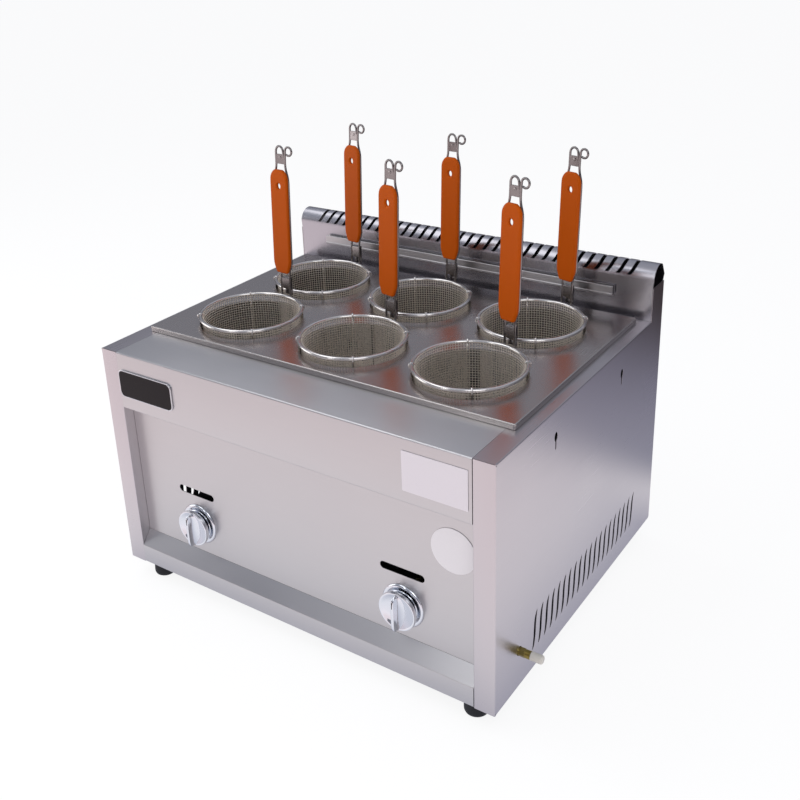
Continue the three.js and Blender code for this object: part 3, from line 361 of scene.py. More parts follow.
def louvre_outline(y, steps=20):
    """A pressed slot with pointed ends that sweep forwards at the bottom and backwards at the top."""
    bottom, height, lean, width = 27, 53.5, 11.5, 5.4
    front, rear = [], []
    for i in range(steps + 1):
        u = 2 * i / steps - 1
        middle = y + lean / 2 * (0.25 * u + 0.75 * u * abs(u) ** 2.4)
        half = width / 2 * max(1 - abs(u) ** 5, 0.015) ** 0.6
        z = bottom + height * (u + 1) / 2
        front.append((middle - half, z))
        rear.append((middle + half, z))
    return front + rear[::-1]


def keyhole_outline(y, top=297, throat=1.2, length=22):
    """An oval head with a narrow slot below it."""
    foot = top - length
    return arc(y, top - 6, 4, range(-70, 251, 20), 1.5) + [(y - throat, foot), (y + throat, foot)]


for side, name in ((-1, "left_side_panel"), (1, "right_side_panel")):
    def side_wall(y, z, depth, side=side):
        return at(side * (side_x - sheet / 2 + depth), y, z)

    def side_fold(z, x, y, side=side):
        return at(side * x, y, z)

    def top_fold(y, x, z, side=side):
        return at(side * x, y, z)

    ear_front = hood_front - play
    below_fold = cabinet_height - seam
    outline = [(seam, seam), (cabinet_depth, seam), (cabinet_depth, ear_height), (ear_front, ear_height),
               (ear_front, below_fold), (seam, below_fold)]
    holes = [louvre_outline(louvre_first + louvre_pitch * i) for i in range(louvre_count)]
    holes += [keyhole_outline(y) for y in keyhole_places]
    if side > 0:
        holes.append(circle(inlet_y, inlet_z, 6, 24))
    wall = slab_mesh(name, [outline] + holes, sheet, 0.05, side_wall, 1)
    front_line = rounded([(return_x, 17), (return_x, 0), (side_x, 0), (side_x, seam)], fold)
    front = folded_mesh(name, front_line, sheet, (0, cabinet_height - play), side_fold)
    top_line = rounded([(return_x, cabinet_height), (side_x, cabinet_height), (side_x, below_fold)], fold)
    top = folded_mesh(name, top_line[::-1], sheet, (play, hood_front - 0.4), top_fold)
    foot_line = rounded([(side_x, seam), (side_x, 0), (286, 0)], fold)
    foot_return = folded_mesh(name, foot_line[::-1], sheet, (1, cabinet_depth - 1), top_fold)
    panel = add_piece(name + "_sheet", joined(name, [wall, front, top, foot_return]), brushed_side, "cabinet")
    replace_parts(panel, name)


tank_front = 87.8
front_fold = 2.0
panel_y = 16
panel_bottom, panel_top = 46, 245
fascia_line = rounded([(tank_front - 2.4, cabinet_height), (0, cabinet_height), (0, panel_top),
                       (panel_y - 0.5, panel_top)], front_fold)
fascia_mesh = folded_mesh("fascia", fascia_line, sheet, (-bay_x, bay_x), at)
fascia = add_piece("fascia_sheet", fascia_mesh, brushed_front, "cabinet")
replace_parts(fascia, "front_fascia")
rail_line = rounded([(panel_y, panel_bottom), (0, 27.5), (0, 0), (9, 0)], front_fold)
rail_mesh = folded_mesh("bottom_rail", rail_line, sheet, (-bay_x, bay_x), at)
rail = add_piece("bottom_rail_sheet", rail_mesh, brushed_front, "cabinet")
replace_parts(rail, "bottom_rail")

knob_x, knob_z = 164, 89.5


def window_outline(x, z=137, length=62, width=10):
    """A slot with round ends."""
    radius = width / 2
    reach = length / 2 - radius
    return arc(x + reach, z, radius, range(-90, 91, 15)) + arc(x - reach, z, radius, range(90, 271, 15))


def on_panel(x, z, depth):
    return at(x, panel_y + sheet / 2 - depth, z)


low_z, high_z = panel_bottom + play, panel_top - play
panel_outline = [(-bay_x, low_z), (bay_x, low_z), (bay_x, high_z), (-bay_x, high_z)]
panel_holes = [h for x in (-knob_x, knob_x) for h in (window_outline(x), circle(x, knob_z, 6.5))]
panel_mesh = slab_mesh("control_panel", [panel_outline] + panel_holes, sheet, 0.15, on_panel, 1)
control_panel = add_piece("control_panel_sheet", panel_mesh, brushed_front, "cabinet")
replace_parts(control_panel, "control_panel")


def dress(name, material):
    """Gives a CAD node its finish."""
    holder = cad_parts[name]
    holder.data.materials.clear()
    holder.data.materials.append(material)


dress("back_panel", brushed_front)

# Base and burner tray: pressed from dull zinc-coated steel sheet, lying under the burners.
# The grain of the zinc shows as a soft mottling.
spangle, tree = empty_material("zinc-coated steel sheet")
place = node(tree, "ShaderNodeTexCoord").outputs["Object"]
crystals = node(tree, "ShaderNodeTexVoronoi", Vector=place, Scale=110.0)
shade = node(tree, "ShaderNodeMix", {"data_type": "RGBA"}, _0=crystals.outputs["Color"],
             _6=rgb("#6d7173"), _7=rgb("#8b8f91"))
rough = node(tree, "ShaderNodeMapRange", Value=crystals.outputs["Distance"], _1=0.0, _2=0.6, _3=0.42, _4=0.58)
shader = node(tree, "ShaderNodeBsdfPrincipled", Base_Color=shade.outputs["Result"], Metallic=0.9,
              Roughness=rough.outputs["Result"])
node(tree, "ShaderNodeOutputMaterial", Surface=shader.outputs[0])
for name in ("base_plate", "burner_tray", "gas_manifold"):
    dress(name, spangle)

# Feet: moulded black rubber, screwed up into the base. The flat sole is slightly smaller than
# the body, with a rounded edge between.


def turned_mesh(name, profile, count, place):
    """A turned form from (radius, height) pairs. place turns (x, y, height) into a place."""
    places, faces, rings = [], [], []
    for radius, height in profile:
        if radius < 1e-6:
            rings.append([len(places)])
            places.append(place(0, 0, height))
        else:
            rings.append(list(range(len(places), len(places) + count)))
            places += [place(x, y, height) for x, y in circle(0, 0, radius, count)]
    for lower, upper in zip(rings, rings[1:]):
        for i in range(count):
            j = (i + 1) % count
            if len(lower) == 1 and len(upper) > 1:
                faces.append((lower[0], upper[j], upper[i]))
            elif len(upper) == 1 and len(lower) > 1:
                faces.append((lower[i], lower[j], upper[0]))
            elif len(lower) > 1:
                faces.append((lower[i], lower[j], upper[j], upper[i]))
    return mesh_from(name, places, faces)


def plain(name, colour, roughness, grit, metallic=0.0, depth=0.0001, change=0.85, strength=0.3, gloss=0.5):
    """A moulded or cast surface, with a fine grit of the given size in millimetres."""
    made, tree = empty_material(name)
    place = node(tree, "ShaderNodeTexCoord").outputs["Object"]
    noise = node(tree, "ShaderNodeTexNoise", Vector=place, Scale=1000 / grit, Detail=3.0, Roughness=0.6)
    grains = noise.outputs["Fac"]
    dark = tuple(v * change for v in rgb(colour)[:3]) + (1.0,)
    tint = node(tree, "ShaderNodeMix", {"data_type": "RGBA"}, _0=grains, _6=dark, _7=rgb(colour))
    rough = node(tree, "ShaderNodeMapRange", Value=grains,
                 _1=0.3, _2=0.7, _3=roughness - 0.06, _4=roughness + 0.06)
    relief = node(tree, "ShaderNodeBump", Strength=strength, Distance=depth, Height=grains)
    shader = node(tree, "ShaderNodeBsdfPrincipled", Base_Color=tint.outputs["Result"], Metallic=metallic,
                  Roughness=rough.outputs["Result"], Normal=relief.outputs["Normal"],
                  Specular_IOR_Level=gloss)
    node(tree, "ShaderNodeOutputMaterial", Surface=shader.outputs[0])
    return made


# Moulded rubber: matt black that still shows a soft highlight on its edge.
black_rubber = plain("moulded black rubber", "#1a1a1c", 0.62, 1.5)
sole = -28.4
foot_profile = [(0, sole), (10.6, sole), (12.6, sole + 0.5), (14.4, sole + 1.9), (15.3, sole + 4),
                (15.5, sole + 6.5), (15.1, sole + 14), (14.2, -1.4), (13.6, -0.5), (12.9, -play),
                (6, -play), (6, 1), (0, 1)]
for name in ("foot_front_left", "foot_front_right", "foot_rear_left", "foot_rear_right"):
    low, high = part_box(name)
    centre = ((low + high) / 2 - cabinet_origin) * 1000

    def under(x, y, z, centre=centre):
        return at(centre.x + x, centre.y + y, z)

    foot = add_piece(name + "_rubber", turned_mesh(name, foot_profile, 40, under), black_rubber, "cabinet")
    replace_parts(foot, name)

# Burners and gas train: cast-iron bars over the tray, brass valves on a zinc-coated pipe behind
# the control panel, and a ceramic igniter clipped to each bar. Little of it shows from outside.
cast_iron = plain("sand-cast grey iron", "#343436", 0.75, 2.5, metallic=0.5, depth=0.0004)
glazed_ceramic = plain("glazed ceramic", "#e4e1da", 0.25, 4.0, change=0.97, strength=0.1)
# Machined brass: dull yellow with fine turning marks.
machined_brass = steel("machined brass", "#a8985a", 0.3, (0.8, 40, 40), 0.05)
for side in ("left", "right"):
    dress(side + "_burner", cast_iron)
    dress(side + "_igniter", glazed_ceramic)
    for part in ("valve_body", "valve_stem", "valve_plunger"):
        dress(side + "_" + part, machined_brass)

# Water tank and rack: 304 stainless sheet, polished inside, with the perforated rack standing on
# the tank floor to keep the baskets off it.
tank_steel = steel("polished 304 stainless", "#a9a6a6", 0.22, (30, 2, 2), 0.04)
for name in ("water_tank", "basket_rack"):
    dress(name, tank_steel)

# Tank cover: one sheet of polished 304 stainless with a turned-down rim and a cut hole for each
# basket. It is nearly a mirror, so the rims and grips show in it.
cover_steel = steel("polished 304 stainless, worn", "#c0bab7", 0.26, (2.5, 45, 2.5), 0.02,
                    bump=0.006, along=(0, 1, 0))
low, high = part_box("tank_cover")
cover_half = (high.x - low.x) * 500
cover_front = (low.y - cabinet_origin.y) * 1000
cover_rear = (high.y - cabinet_origin.y) * 1000
cover_top = (high.z - cabinet_origin.z) * 1000
cover_bottom = (low.z - cabinet_origin.z) * 1000
across_pitch, back_pitch, baskets_middle = 172, 161, 242.5
basket_places = [(across_pitch * column, baskets_middle + back_pitch * row)
                 for row in (-0.5, 0.5) for column in (-1, 0, 1)]
hole_radius = 70.7


def rounded_rectangle(x0, x1, y0, y1, radius):
    """Four sides with round corners, each of seven points."""
    left, right, near, far = x0 + radius, x1 - radius, y0 + radius, y1 - radius
    corners = ((right, near, -90), (right, far, 0), (left, far, 90), (left, near, 180))
    return [p for x, y, start in corners for p in arc(x, y, radius, range(start, start + 91, 15))]


def on_cover(x, y, depth):
    return at(x, y, cover_top - sheet / 2 + depth)


cover_corner = 3.0
lip = 1.6


def cover_outline(inset):
    """The cover's outline, drawn in by the given distance."""
    return rounded_rectangle(-cover_half + inset, cover_half - inset, cover_front + inset, cover_rear - inset,
                             max(cover_corner - inset, 0.4))


plate = [cover_outline(lip)] + [circle(x, y, hole_radius, 72) for x, y in basket_places]
cover_plate = slab_mesh("cover_plate", plate, sheet, 0.2, on_cover, 1)
skirt_places, skirt_faces = [], []
skirt_section = [(lip + 0.2, cover_top)] + arc(lip, cover_top - lip, lip, range(90, 181, 15))
skirt_section += [(0, cover_bottom + 0.2), (0.2, cover_bottom), (sheet, cover_bottom)]
skirt_section.append((sheet, cover_top - 1.4))
for inset, z in skirt_section:
    skirt_places += [at(x, y, z) for x, y in cover_outline(inset)]
ring_size = len(cover_outline(lip))
for k in range(len(skirt_section) - 1):
    for i in range(ring_size):
        j = (i + 1) % ring_size
        a, b = k * ring_size, (k + 1) * ring_size
        skirt_faces.append((a + j, a + i, b + i, b + j))
cover_skirt = mesh_from("cover_skirt", skirt_places, skirt_faces)
cover = add_piece("cover_sheet", joined("cover", [cover_plate, cover_skirt]), cover_steel, "cover")
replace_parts(cover, "tank_cover")

# Flue hood: a brushed stainless sheet rolled over at the top, with leaning slots that let the
# flue gas out. Its ends are open. Along its front runs a folded rail that the baskets hang on.
hood_steel = steel("brushed 430 stainless, hood", "#b9b7bd", 0.25, (60, 1.1, 1.1), 0.015,
                   bump=0.01, along=(1, 0, 0))
arch_radius = (cabinet_depth - hood_front) / 2
arch_y, arch_z = cabinet_depth - arch_radius, 383.0
slot_pitch, slot_width, slot_lean, slot_count = 15.72, 5.4, 7.0, 34
slot_start, slot_length = 4.0, 37.0
arch_length = math.pi * arch_radius
wall_height = arch_z - cabinet_height


def hood_point(s, inset=0.0):
    """Across and up at a distance s along the hood's section, from the foot of its front wall."""
    radius = arch_radius - inset
    if s < wall_height:
        return hood_front + inset, cabinet_height + s
    if s < wall_height + arch_length:
        a = math.pi - (s - wall_height) / arch_radius
        return arch_y + radius * math.cos(a), arch_z + radius * math.sin(a)
    return cabinet_depth - inset, arch_z - (s - wall_height - arch_length)


slot_from = wall_height + slot_start
slot_to = slot_from + slot_length
rows = [0.0, ear_height - cabinet_height, wall_height]
rows += [wall_height + slot_start * i / 2 for i in (1, 2)]
rows += [slot_from + slot_length * i / 24 for i in range(1, 25)]
rows += [wall_height + arch_length, wall_height + arch_length + 9.5, 2 * wall_height + arch_length]
columns = [(-side_x, 0)]
for i in range(slot_count):
    x = (i - (slot_count - 1) / 2) * slot_pitch
    columns += [(x - slot_width / 2, 1), (x + slot_width / 2, 1)]
columns.append((side_x, 0))
hood_places = []
for inset in (0.0, sheet):
    for s in rows:
        y, z = hood_point(s, inset)
        run = min(max((s - slot_from) / slot_length, 0), 1)
        lean = slot_lean * (1 - (1 - run) ** 5)
        between_ears = z < ear_height + 0.2
        for x, leans in columns:
            edge = inside_x if between_ears and abs(x) == side_x else side_x
            hood_places.append(at(max(-edge, min(edge, x + lean * leans)), y, z))
width = len(columns)
layer = len(rows) * width
hood_faces = []


def open_cell(row, column):
    """Whether a cell of the hood's grid lies in a slot."""
    inside = slot_from - 0.01 <= rows[row] and rows[row + 1] <= slot_to + 0.01
    return inside and column % 2 == 1 and 1 <= column <= 2 * slot_count - 1


for row in range(len(rows) - 1):
    for column in range(width - 1):
        a = row * width + column
        corners = (a, a + 1, a + 1 + width, a + width)
        if open_cell(row, column):
            for near, far in ((a, a + width), (a + 1 + width, a + 1)):
                hood_faces.append((near, far, far + layer, near + layer))
            if not open_cell(row - 1, column):
                hood_faces.append((a + 1, a, a + layer, a + 1 + layer))
            if not (row + 1 < len(rows) - 1 and open_cell(row + 1, column)):
                hood_faces.append((a + width, a + 1 + width, a + 1 + width + layer, a + width + layer))
        else:
            hood_faces.append(corners)
            hood_faces.append(tuple(k + layer for k in corners[::-1]))
for row in range(len(rows) - 1):
    left, right_end = row * width, row * width + width - 1
    hood_faces.append((left + width, left + width + layer, left + layer, left))
    hood_faces.append((right_end, right_end + layer, right_end + width + layer, right_end + width))
for column in range(width - 1):
    top_row = (len(rows) - 1) * width + column
    hood_faces.append((column + 1, column, column + layer, column + 1 + layer))
    hood_faces.append((top_row, top_row + 1, top_row + 1 + layer, top_row + layer))
hood_sheet = mesh_from("hood_sheet", hood_places, hood_faces)
flange_y = hood_front + sheet
flange_corners = [(flange_y, cabinet_height + 3), (flange_y, cabinet_height), (407.9, cabinet_height)]
hood_flange = folded_mesh("hood_flange", rounded(flange_corners, 0.6), sheet, (-bay_x, bay_x), at)
hood = add_piece("hood_sheet_rolled", joined("hood", [hood_sheet, hood_flange]), hood_steel, "cabinet")
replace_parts(hood, "flue_hood")

rail_front, rail_back = hood_front - 8, hood_front - play
rail_low, rail_step, rail_high = 356, 358.6, 369
hem_front, hem_back = rail_front + 1, rail_front + 2.9
hang_line = rounded([(hem_back, rail_high - 1.7), (hem_back, rail_high), (hem_front, rail_high),
                     (hem_front, rail_step), (rail_front, rail_step), (rail_front, rail_low),
                     (rail_back, rail_low), (rail_back, rail_high)], 0.8)
hanging_mesh = folded_mesh("hanging_rail", hang_line, 0.7, (-241, 241), at)
hanging_rail = add_piece("hanging_rail_sheet", hanging_mesh, brushed_front, "cabinet")
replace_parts(hanging_rail, "hanging_rail")

# Baskets: a rim ring of 5 mm stainless wire, two thinner wires that cross under the cup and loop
# over the ring, and a cup of woven stainless mesh that hangs inside the ring.


def tube(places, radius, count=8, closed=False):
    """Places and faces of a bent round wire."""
    places = [Vector(p) for p in places]
    last = len(places) - 1
    tangents = []
    for i in range(len(places)):
        before = places[i - 1] if closed or i > 0 else places[0]
        after = places[(i + 1) % len(places)] if closed or i < last else places[last]
        tangents.append((after - before).normalized())
    side = tangents[0].orthogonal().normalized()
    out, faces = [], []
    for here, tangent in zip(places, tangents):
        side = (side - tangent * side.dot(tangent)).normalized()
        other = tangent.cross(side)
        out += [here + side * a + other * b for a, b in circle(0, 0, radius, count)]
    spans = len(places) if closed else last
    for i in range(spans):
        a, b = i * count, ((i + 1) % len(places)) * count
        shift = 0
        # The span that closes a ring starts where the ring's own sides line up with its first ones.
        if closed and i == last:
            start = out[0]
            shift = min(range(count), key=lambda k: (out[a + k] - start).length)
        for k in range(count):
            n = (k + 1) % count
            faces.append((a + (k + shift) % count, a + (n + shift) % count, b + n, b + k))
    if not closed:
        faces.append(tuple(range(count))[::-1])
        faces.append(tuple(range(last * count, last * count + count)))
    return out, faces


def wires_mesh(name, tubes):
    """Several tubes as one mesh, turned from millimetres into metres."""
    places, faces = [], []
    for part_places, part_faces in tubes:
        start = len(places)
        places += [p / 1000 for p in part_places]
        faces += [tuple(start + i for i in face) for face in part_faces]
    return mesh_from(name, places, faces)


def bent(points, radius, steps=6):
    """A line through 3-D points with each inner corner turned into a smooth bend."""
    out = [Vector(points[0])]
    for before, here, after in zip(points, points[1:], points[2:]):
        before, here, after = Vector(before), Vector(here), Vector(after)
        a, b = before - here, after - here
        cut = min(radius, 0.48 * a.length, 0.48 * b.length)
        start, end = here + a.normalized() * cut, here + b.normalized() * cut
        for i in range(steps + 1):
            t = i / steps
            out.append(start * (1 - t) ** 2 + here * 2 * t * (1 - t) + end * t ** 2)
    out.append(Vector(points[-1]))
    return out


ring_radius, ring_wire = 69.2, 2.5
cup_radius = 66.2
rib_wire, basket_depth = 1.2, 158.0
rib_place = 67.9
cup_floor = -basket_depth + 2 * rib_wire + 0.6

# Drawn stainless wire: bright, with soft lengthwise marks from the die.
drawn_wire = steel("drawn stainless wire", "#dcd8d5", 0.17, (3, 3, 3), 0.05)
# The handles' wire is duller and darker: a copy of the drawn wire whose darker colour is painted shade.
painted_shade_handle_steel = steel("drawn stainless wire, darker copy in painted shade", "#908b8a", 0.24, (3, 3, 3), 0.06)
# Woven stainless mesh: thinner wire of the same kind, dulled and slightly browned by cooking.
woven_wire = plain("woven stainless wire, dulled", "#f8eee0", 0.3, 2.0, metallic=0.4, depth=0.00002)


def ring_line(radius, z, count=96):
    return [(x, y, z) for x, y in circle(0, 0, radius, count)]


def rib_line(direction):
    """A wire that loops over the ring, runs down, crosses below the cup and comes up again."""
    rib_floor, rib_bend = -basket_depth + rib_wire, 16
    loop = ring_wire + rib_wire - 0.5
    half = arc(rib_place - rib_bend, rib_floor + rib_bend, rib_bend, range(-90, 1, 15))
    half += [(rib_place, -40), (rib_place, -7)] + arc(ring_radius, 0, loop, range(-40, 156, 15))
    line = [(-a, b) for a, b in half[::-1]] + [(0, rib_floor)] + half
    turn = math.radians(direction)
    return [(a * math.sin(turn), a * math.cos(turn), b) for a, b in line]


rim_mesh = wires_mesh("rim", [tube(ring_line(ring_radius, 0), ring_wire, 12, True)]
                      + [tube(rib_line(d), rib_wire, 8) for d in (45, 135)])

# The mesh: threads of 0.8 mm wire, 3.5 mm apart both ways.
thread, thread_pitch = 0.4, 3.5
upright_count = 119
floor_bend = 13.0
wall_bottom = cup_floor + floor_bend
hoops = []
z = 0.4
inner, outer = cup_radius - thread, cup_radius + thread
while z > wall_bottom:
    hoops.append((inner, z))
    z -= thread_pitch
hoops += arc(inner - floor_bend, wall_bottom, floor_bend, [-11.25 * i for i in range(1, 9)])
threads = [tube(ring_line(r, h, 72), thread, 4, True) for r, h in hoops]
upright = [(outer, 0.8), (outer, wall_bottom)]
upright += arc(outer - floor_bend, wall_bottom, floor_bend, range(-18, -91, -18))
for i in range(upright_count):
    a = 2 * math.pi * i / upright_count
    threads.append(tube([(r * math.cos(a), r * math.sin(a), h) for r, h in upright], thread, 4))
flat_radius = cup_radius - floor_bend
steps_across = int(flat_radius // thread_pitch)
for i in range(-steps_across, steps_across + 1):
    v = i * thread_pitch
    half = math.sqrt((flat_radius + 0.5) ** 2 - v ** 2)
    threads.append(tube([(-half, v, cup_floor + thread), (half, v, cup_floor + thread)], thread, 4))
    threads.append(tube([(v, -half, cup_floor - thread), (v, half, cup_floor - thread)], thread, 4))
woven_mesh = wires_mesh("woven", threads)

# Basket handles: two 3 mm wires welded to the ring. They spread behind a moulded grip and meet in
# a spot-welded plate at the top, where one ends in an arch and the other in an open eye.
handle_y, handle_wire, handle_lean = 71.45, 1.5, math.radians(2.6)
grip_bottom, grip_top = 35.5, 183.0
wire_x, spread_x = 7.9, 12.8


def up_handle(x, y, z):
    """A place on the handle, leaning back from its foot, in millimetres."""
    back_by, up_by = math.sin(handle_lean), math.cos(handle_lean)
    return Vector((x, handle_y + y * up_by + z * back_by, z * up_by - y * back_by))


def handle_side(sign):
    near, wide = wire_x * sign, spread_x * sign
    return [(near, 0, -5), (near, 0, grip_bottom + 1), (wide, 0, grip_bottom + 12),
            (wide, 0, grip_top - 12), (near, 0, grip_top + 2)]


arch_base, arch_end, arch_mid, arch_half, arch_rise = 206.4, 5.6, -1.4, 6.5, 7.7
arch = arc(arch_mid, arch_base, arch_half, range(165, -1, -15), arch_rise / arch_half) + [(arch_end, 199.5)]
left_line = bent(handle_side(-1) + [(-wire_x, 0, arch_base)], 7) + [(x, 0, z) for x, z in arch]
eye_x, eye_z, eye_radius = 14.6, 208.3, 5.8
eye = arc(eye_x, eye_z, eye_radius, range(178, -136, -14))
right_line = bent(handle_side(1) + [(8.3, 0, 203)], 7) + [(x, 0, z) for x, z in eye]
handle_tubes = [tube([up_handle(*p) for p in line], handle_wire, 10) for line in (left_line, right_line)]
handle_mesh = wires_mesh("handle_wires", handle_tubes)


def handle_place(x, y, z):
    return up_handle(x, y, z) / 1000


clip_line = rounded([(6.8, 1), (6.8, 28), (-0.6, 28), (-0.6, 11)], 2.2)
clip_mesh = folded_mesh("hook_clip", clip_line, 1.2, (-6.5, 6.5), handle_place)
tie_outline = rounded_rectangle(-6.8, 6.8, 190, 203.5, 1.6)
tie_mesh = slab_mesh("tie_plate", [tie_outline], 1.5, 0.3, lambda x, z, d: handle_place(x, -d, z))
weld_mesh = turned_mesh("weld_spot", [(0, 0), (1.9, 0), (2.1, 0.25), (1.6, 0.4), (0, 0.15)], 20,
                        lambda x, y, h: handle_place(x, -0.75 - h, 199 + y))
fittings_mesh = joined("fittings", [clip_mesh, tie_mesh, weld_mesh])

grip_half = [(7.4, grip_bottom), (9.2, 35.8), (10.5, 37), (11.5, 39.3), (12.4, 42), (13.7, 45.6),
             (14.7, 49.2), (15.2, 53.5), (15.2, 166), (15.1, 169.6), (14.6, 173), (13.4, 176.2),
             (11.3, 179.3), (8.9, 181.6), (6.2, grip_top)]
grip_outline = grip_half + [(-x, z) for x, z in grip_half[::-1]]
grip_hole = arc(0, 160, 3, range(0, 360, 15), 4 / 3)
grip_thickness = 5.5
grip_mesh = slab_mesh("grip", [grip_outline, grip_hole], grip_thickness, 2.3,
                      lambda x, z, d: handle_place(x, -handle_wire - 0.3 - grip_thickness / 2 - d, z), 4)

# Moulded heat-resistant plastic: deep orange-brown with a satin skin.
grip_plastic = plain("moulded heat-resistant plastic", "#ca5800", 0.36, 30.0, change=0.9,
                     depth=0.00005, strength=0.15, gloss=0.12)

# Each basket hangs a little turned, as the photograph shows. The ring lies above the cover.
turns = [87, 81, 77, 82, 84, 76]
cover_rise, ring_rise = 7.5, 10.4
for i, ((x, y), turn) in enumerate(zip(basket_places, turns)):
    centre = at(x, y, cabinet_height + cover_rise + ring_rise)
    body = "basket_%d" % (i + 1)
    place = Matrix.Translation(centre) @ Matrix.Rotation(math.radians(turn - 90), 4, "Z")
    for part, mesh, finish, stands_for, slot_name in (
        ("rim", rim_mesh, drawn_wire, "_frame", "basket_wire"),
        ("handle_wires", handle_mesh, painted_shade_handle_steel, "_frame", "basket_wire"),
        ("clip_and_tie", fittings_mesh, painted_shade_handle_steel, "_frame", "basket_wire"),
        ("woven_cup", woven_mesh, woven_wire, "_cup", "basket_mesh"),
        ("moulded_grip", grip_mesh, grip_plastic, "_grip", "grip_plastic"),
    ):
        piece = add_piece(body + "_" + part, mesh, finish, body, 40, place)
        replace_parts(piece, body + stands_for)

# Knobs: zinc castings with a bright chrome plate, dished on both sides of a blade that serves as
# grip and pointer. A chromed bezel with a raised collar covers the hole in the panel.
chrome = plain("bright chrome plate on zinc", "#dfe2e8", 0.1, 20.0, metallic=1.0, change=0.97,
               depth=0.00002, strength=0.05)
pointer_black = plain("black enamel in the pointer line", "#1b1b1d", 0.4, 2.0)
bezel_profile = [(6.5, 15.7), (6.5, 12.5), (20.2, 12.5), (20.9, 12.8), (21.3, 13.4), (22.4, 13.7),
                 (24.6, 13.2), (26.6, 13.1), (28.0, 13.7), (28.8, 14.7), (29, 15.7), (6.5, 15.7)]
dish = [(0, 5.5), (9, 5.4), (14, 4.9), (18, 3.8), (20.8, 2.5), (22.6, 1.5), (23.6, 1.1), (24.4, 1.0)]
knob_profile = dish + [(25.0, 1.3), (25.3, 2.0), (25.3, 5.4), (24.9, 6.4), (23, 8.2), (22, 9), (0, 9)]


def dish_depth(radius):
    """How far out the dished face of the knob lies at a distance from its axis."""
    for (r0, y0), (r1, y1) in zip(dish, dish[1:]):
        if radius <= r1:
            return y0 + (y1 - y0) * (radius - r0) / (r1 - r0)
    return 1.0


def blade_mesh(place, rows=28, columns=20):
    """The grip blade: leaf-shaped in front view, with a narrow ridge and scooped flanks."""
    places, faces = [], []
    for i in range(rows + 1):
        u = 2 * i / rows - 1
        z = 25.2 * u - 0.8
        end = (1 - abs(u) ** 6) ** 0.5
        ridge_half = 1.9 * end
        foot_half = 0.6 + 8.4 * max(1 - abs(u) ** 2.4, 0) ** 0.8
        crest = 1.0 - 9.1 * end
        for j in range(columns + 1):
            s = 2 * j / columns - 1
            share = abs(s)
            if share < 0.3:
                x = ridge_half * share / 0.3
                y = crest + 0.35 * (share / 0.3) ** 4
            else:
                down = (share - 0.3) / 0.7
                x = ridge_half + (foot_half - ridge_half) * down
                foot = min(dish_depth(math.hypot(x, z)) + 0.15, 5.6)
                y = crest + 0.35 + (foot - crest - 0.35) * down ** 0.5
            places.append(place(math.copysign(x, s), z, y))
    for i in range(rows):
        for j in range(columns):
            a = i * (columns + 1) + j
            faces.append((a, a + 1, a + columns + 2, a + columns + 1))
    return mesh_from("blade", places, faces)


for side, x in (("left", -knob_x), ("right", knob_x)):
    def from_axis(a, b, y, x=x):
        return at(x + a, y, knob_z + b)

    collar = turned_mesh("bezel", bezel_profile, 64, from_axis)
    bezel = add_piece(side + "_bezel_chrome", collar, chrome, "cabinet")
    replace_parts(bezel, side + "_knob_bezel")
    disc = turned_mesh("disc", knob_profile, 64, from_axis)
    blade = blade_mesh(from_axis)
    knob = add_piece(side + "_knob_chrome", joined("knob", [disc, blade]), chrome, side + "_knob")
    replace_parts(knob, side + "_knob")
    line = slab_mesh("pointer", [[(-0.5, 10), (0.5, 10), (0.5, 19), (-0.5, 19)]], 0.3, 0.1,
                     lambda a, b, depth, x=x: at(x + a, -8.05 + depth, knob_z + b), 1)
    add_piece(side + "_pointer_line", line, pointer_black, side + "_knob")

# Gas inlet: a brass fitting turned from hexagon bar, with a threaded end. For transport a milky
# plastic cap is pushed over its nipple.
milky_plastic = plain("milky moulded polyethylene", "#e6e2d6", 0.42, 6.0, change=0.95)


def on_inlet(x, y, h):
    return at(h, inlet_y + x, inlet_z + y)


thread_profile = []
for i in range(5):
    start = 303.6 + 1.25 * i
    thread_profile += [(4.7, start), (5.2, start + 0.45), (5.2, start + 0.7), (4.7, start + 1.15)]
tail_profile = [(0, 283.7), (8, 283.7), (8, 293.7), (0, 293.7)]
collar_profile = [(5.4, 293.7), (5.4, 296.2), (4.6, 296.4), (4.6, 303.6)] + thread_profile
collar_profile += [(4.2, 309.8), (4.2, 316.8), (0, 316.8)]
hexagon_profile = [(4.4, 296.4), (5.1, 296.4), (5.5, 296.9), (5.5, 302.6), (5.1, 303.1), (4.4, 303.1)]
fitting_parts = [
    turned_mesh("inlet_tail", tail_profile, 36, on_inlet),
    turned_mesh("inlet_collar", collar_profile, 36, on_inlet),
    turned_mesh("inlet_hexagon", hexagon_profile, 6, on_inlet),
]
fitting_mesh = joined("inlet_fitting", fitting_parts)
fitting = add_piece("inlet_fitting_brass", fitting_mesh, machined_brass, "cabinet", 30)
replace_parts(fitting, "inlet_fitting")
cap_profile = [(4.5, 310.2), (5.0, 310.1), (5.4, 310.5), (5.4, 322.6), (5.25, 323.6), (4.8, 324.5),
               (4.0, 325.0), (0, 325.1)]
cap_mesh = turned_mesh("inlet_cap", cap_profile, 36, on_inlet)
cap = add_piece("inlet_cap_plastic", cap_mesh, milky_plastic, "inlet_cap")
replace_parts(cap, "inlet_cap")

# Drain at the back: a stainless pipe from the tank to a brass ball valve with hexagon ends, and
# a flat lever dipped in red vinyl on its spindle.
drain_x, drain_z = -182.0, 181.1
valve_front, valve_y, valve_rear = 481.8, 499.8, 517.8


def on_drain(x, y, h):
    return at(drain_x + x, h, drain_z + y)


def on_spindle(x, y, h):
    return at(drain_x + x, valve_y + y, h)


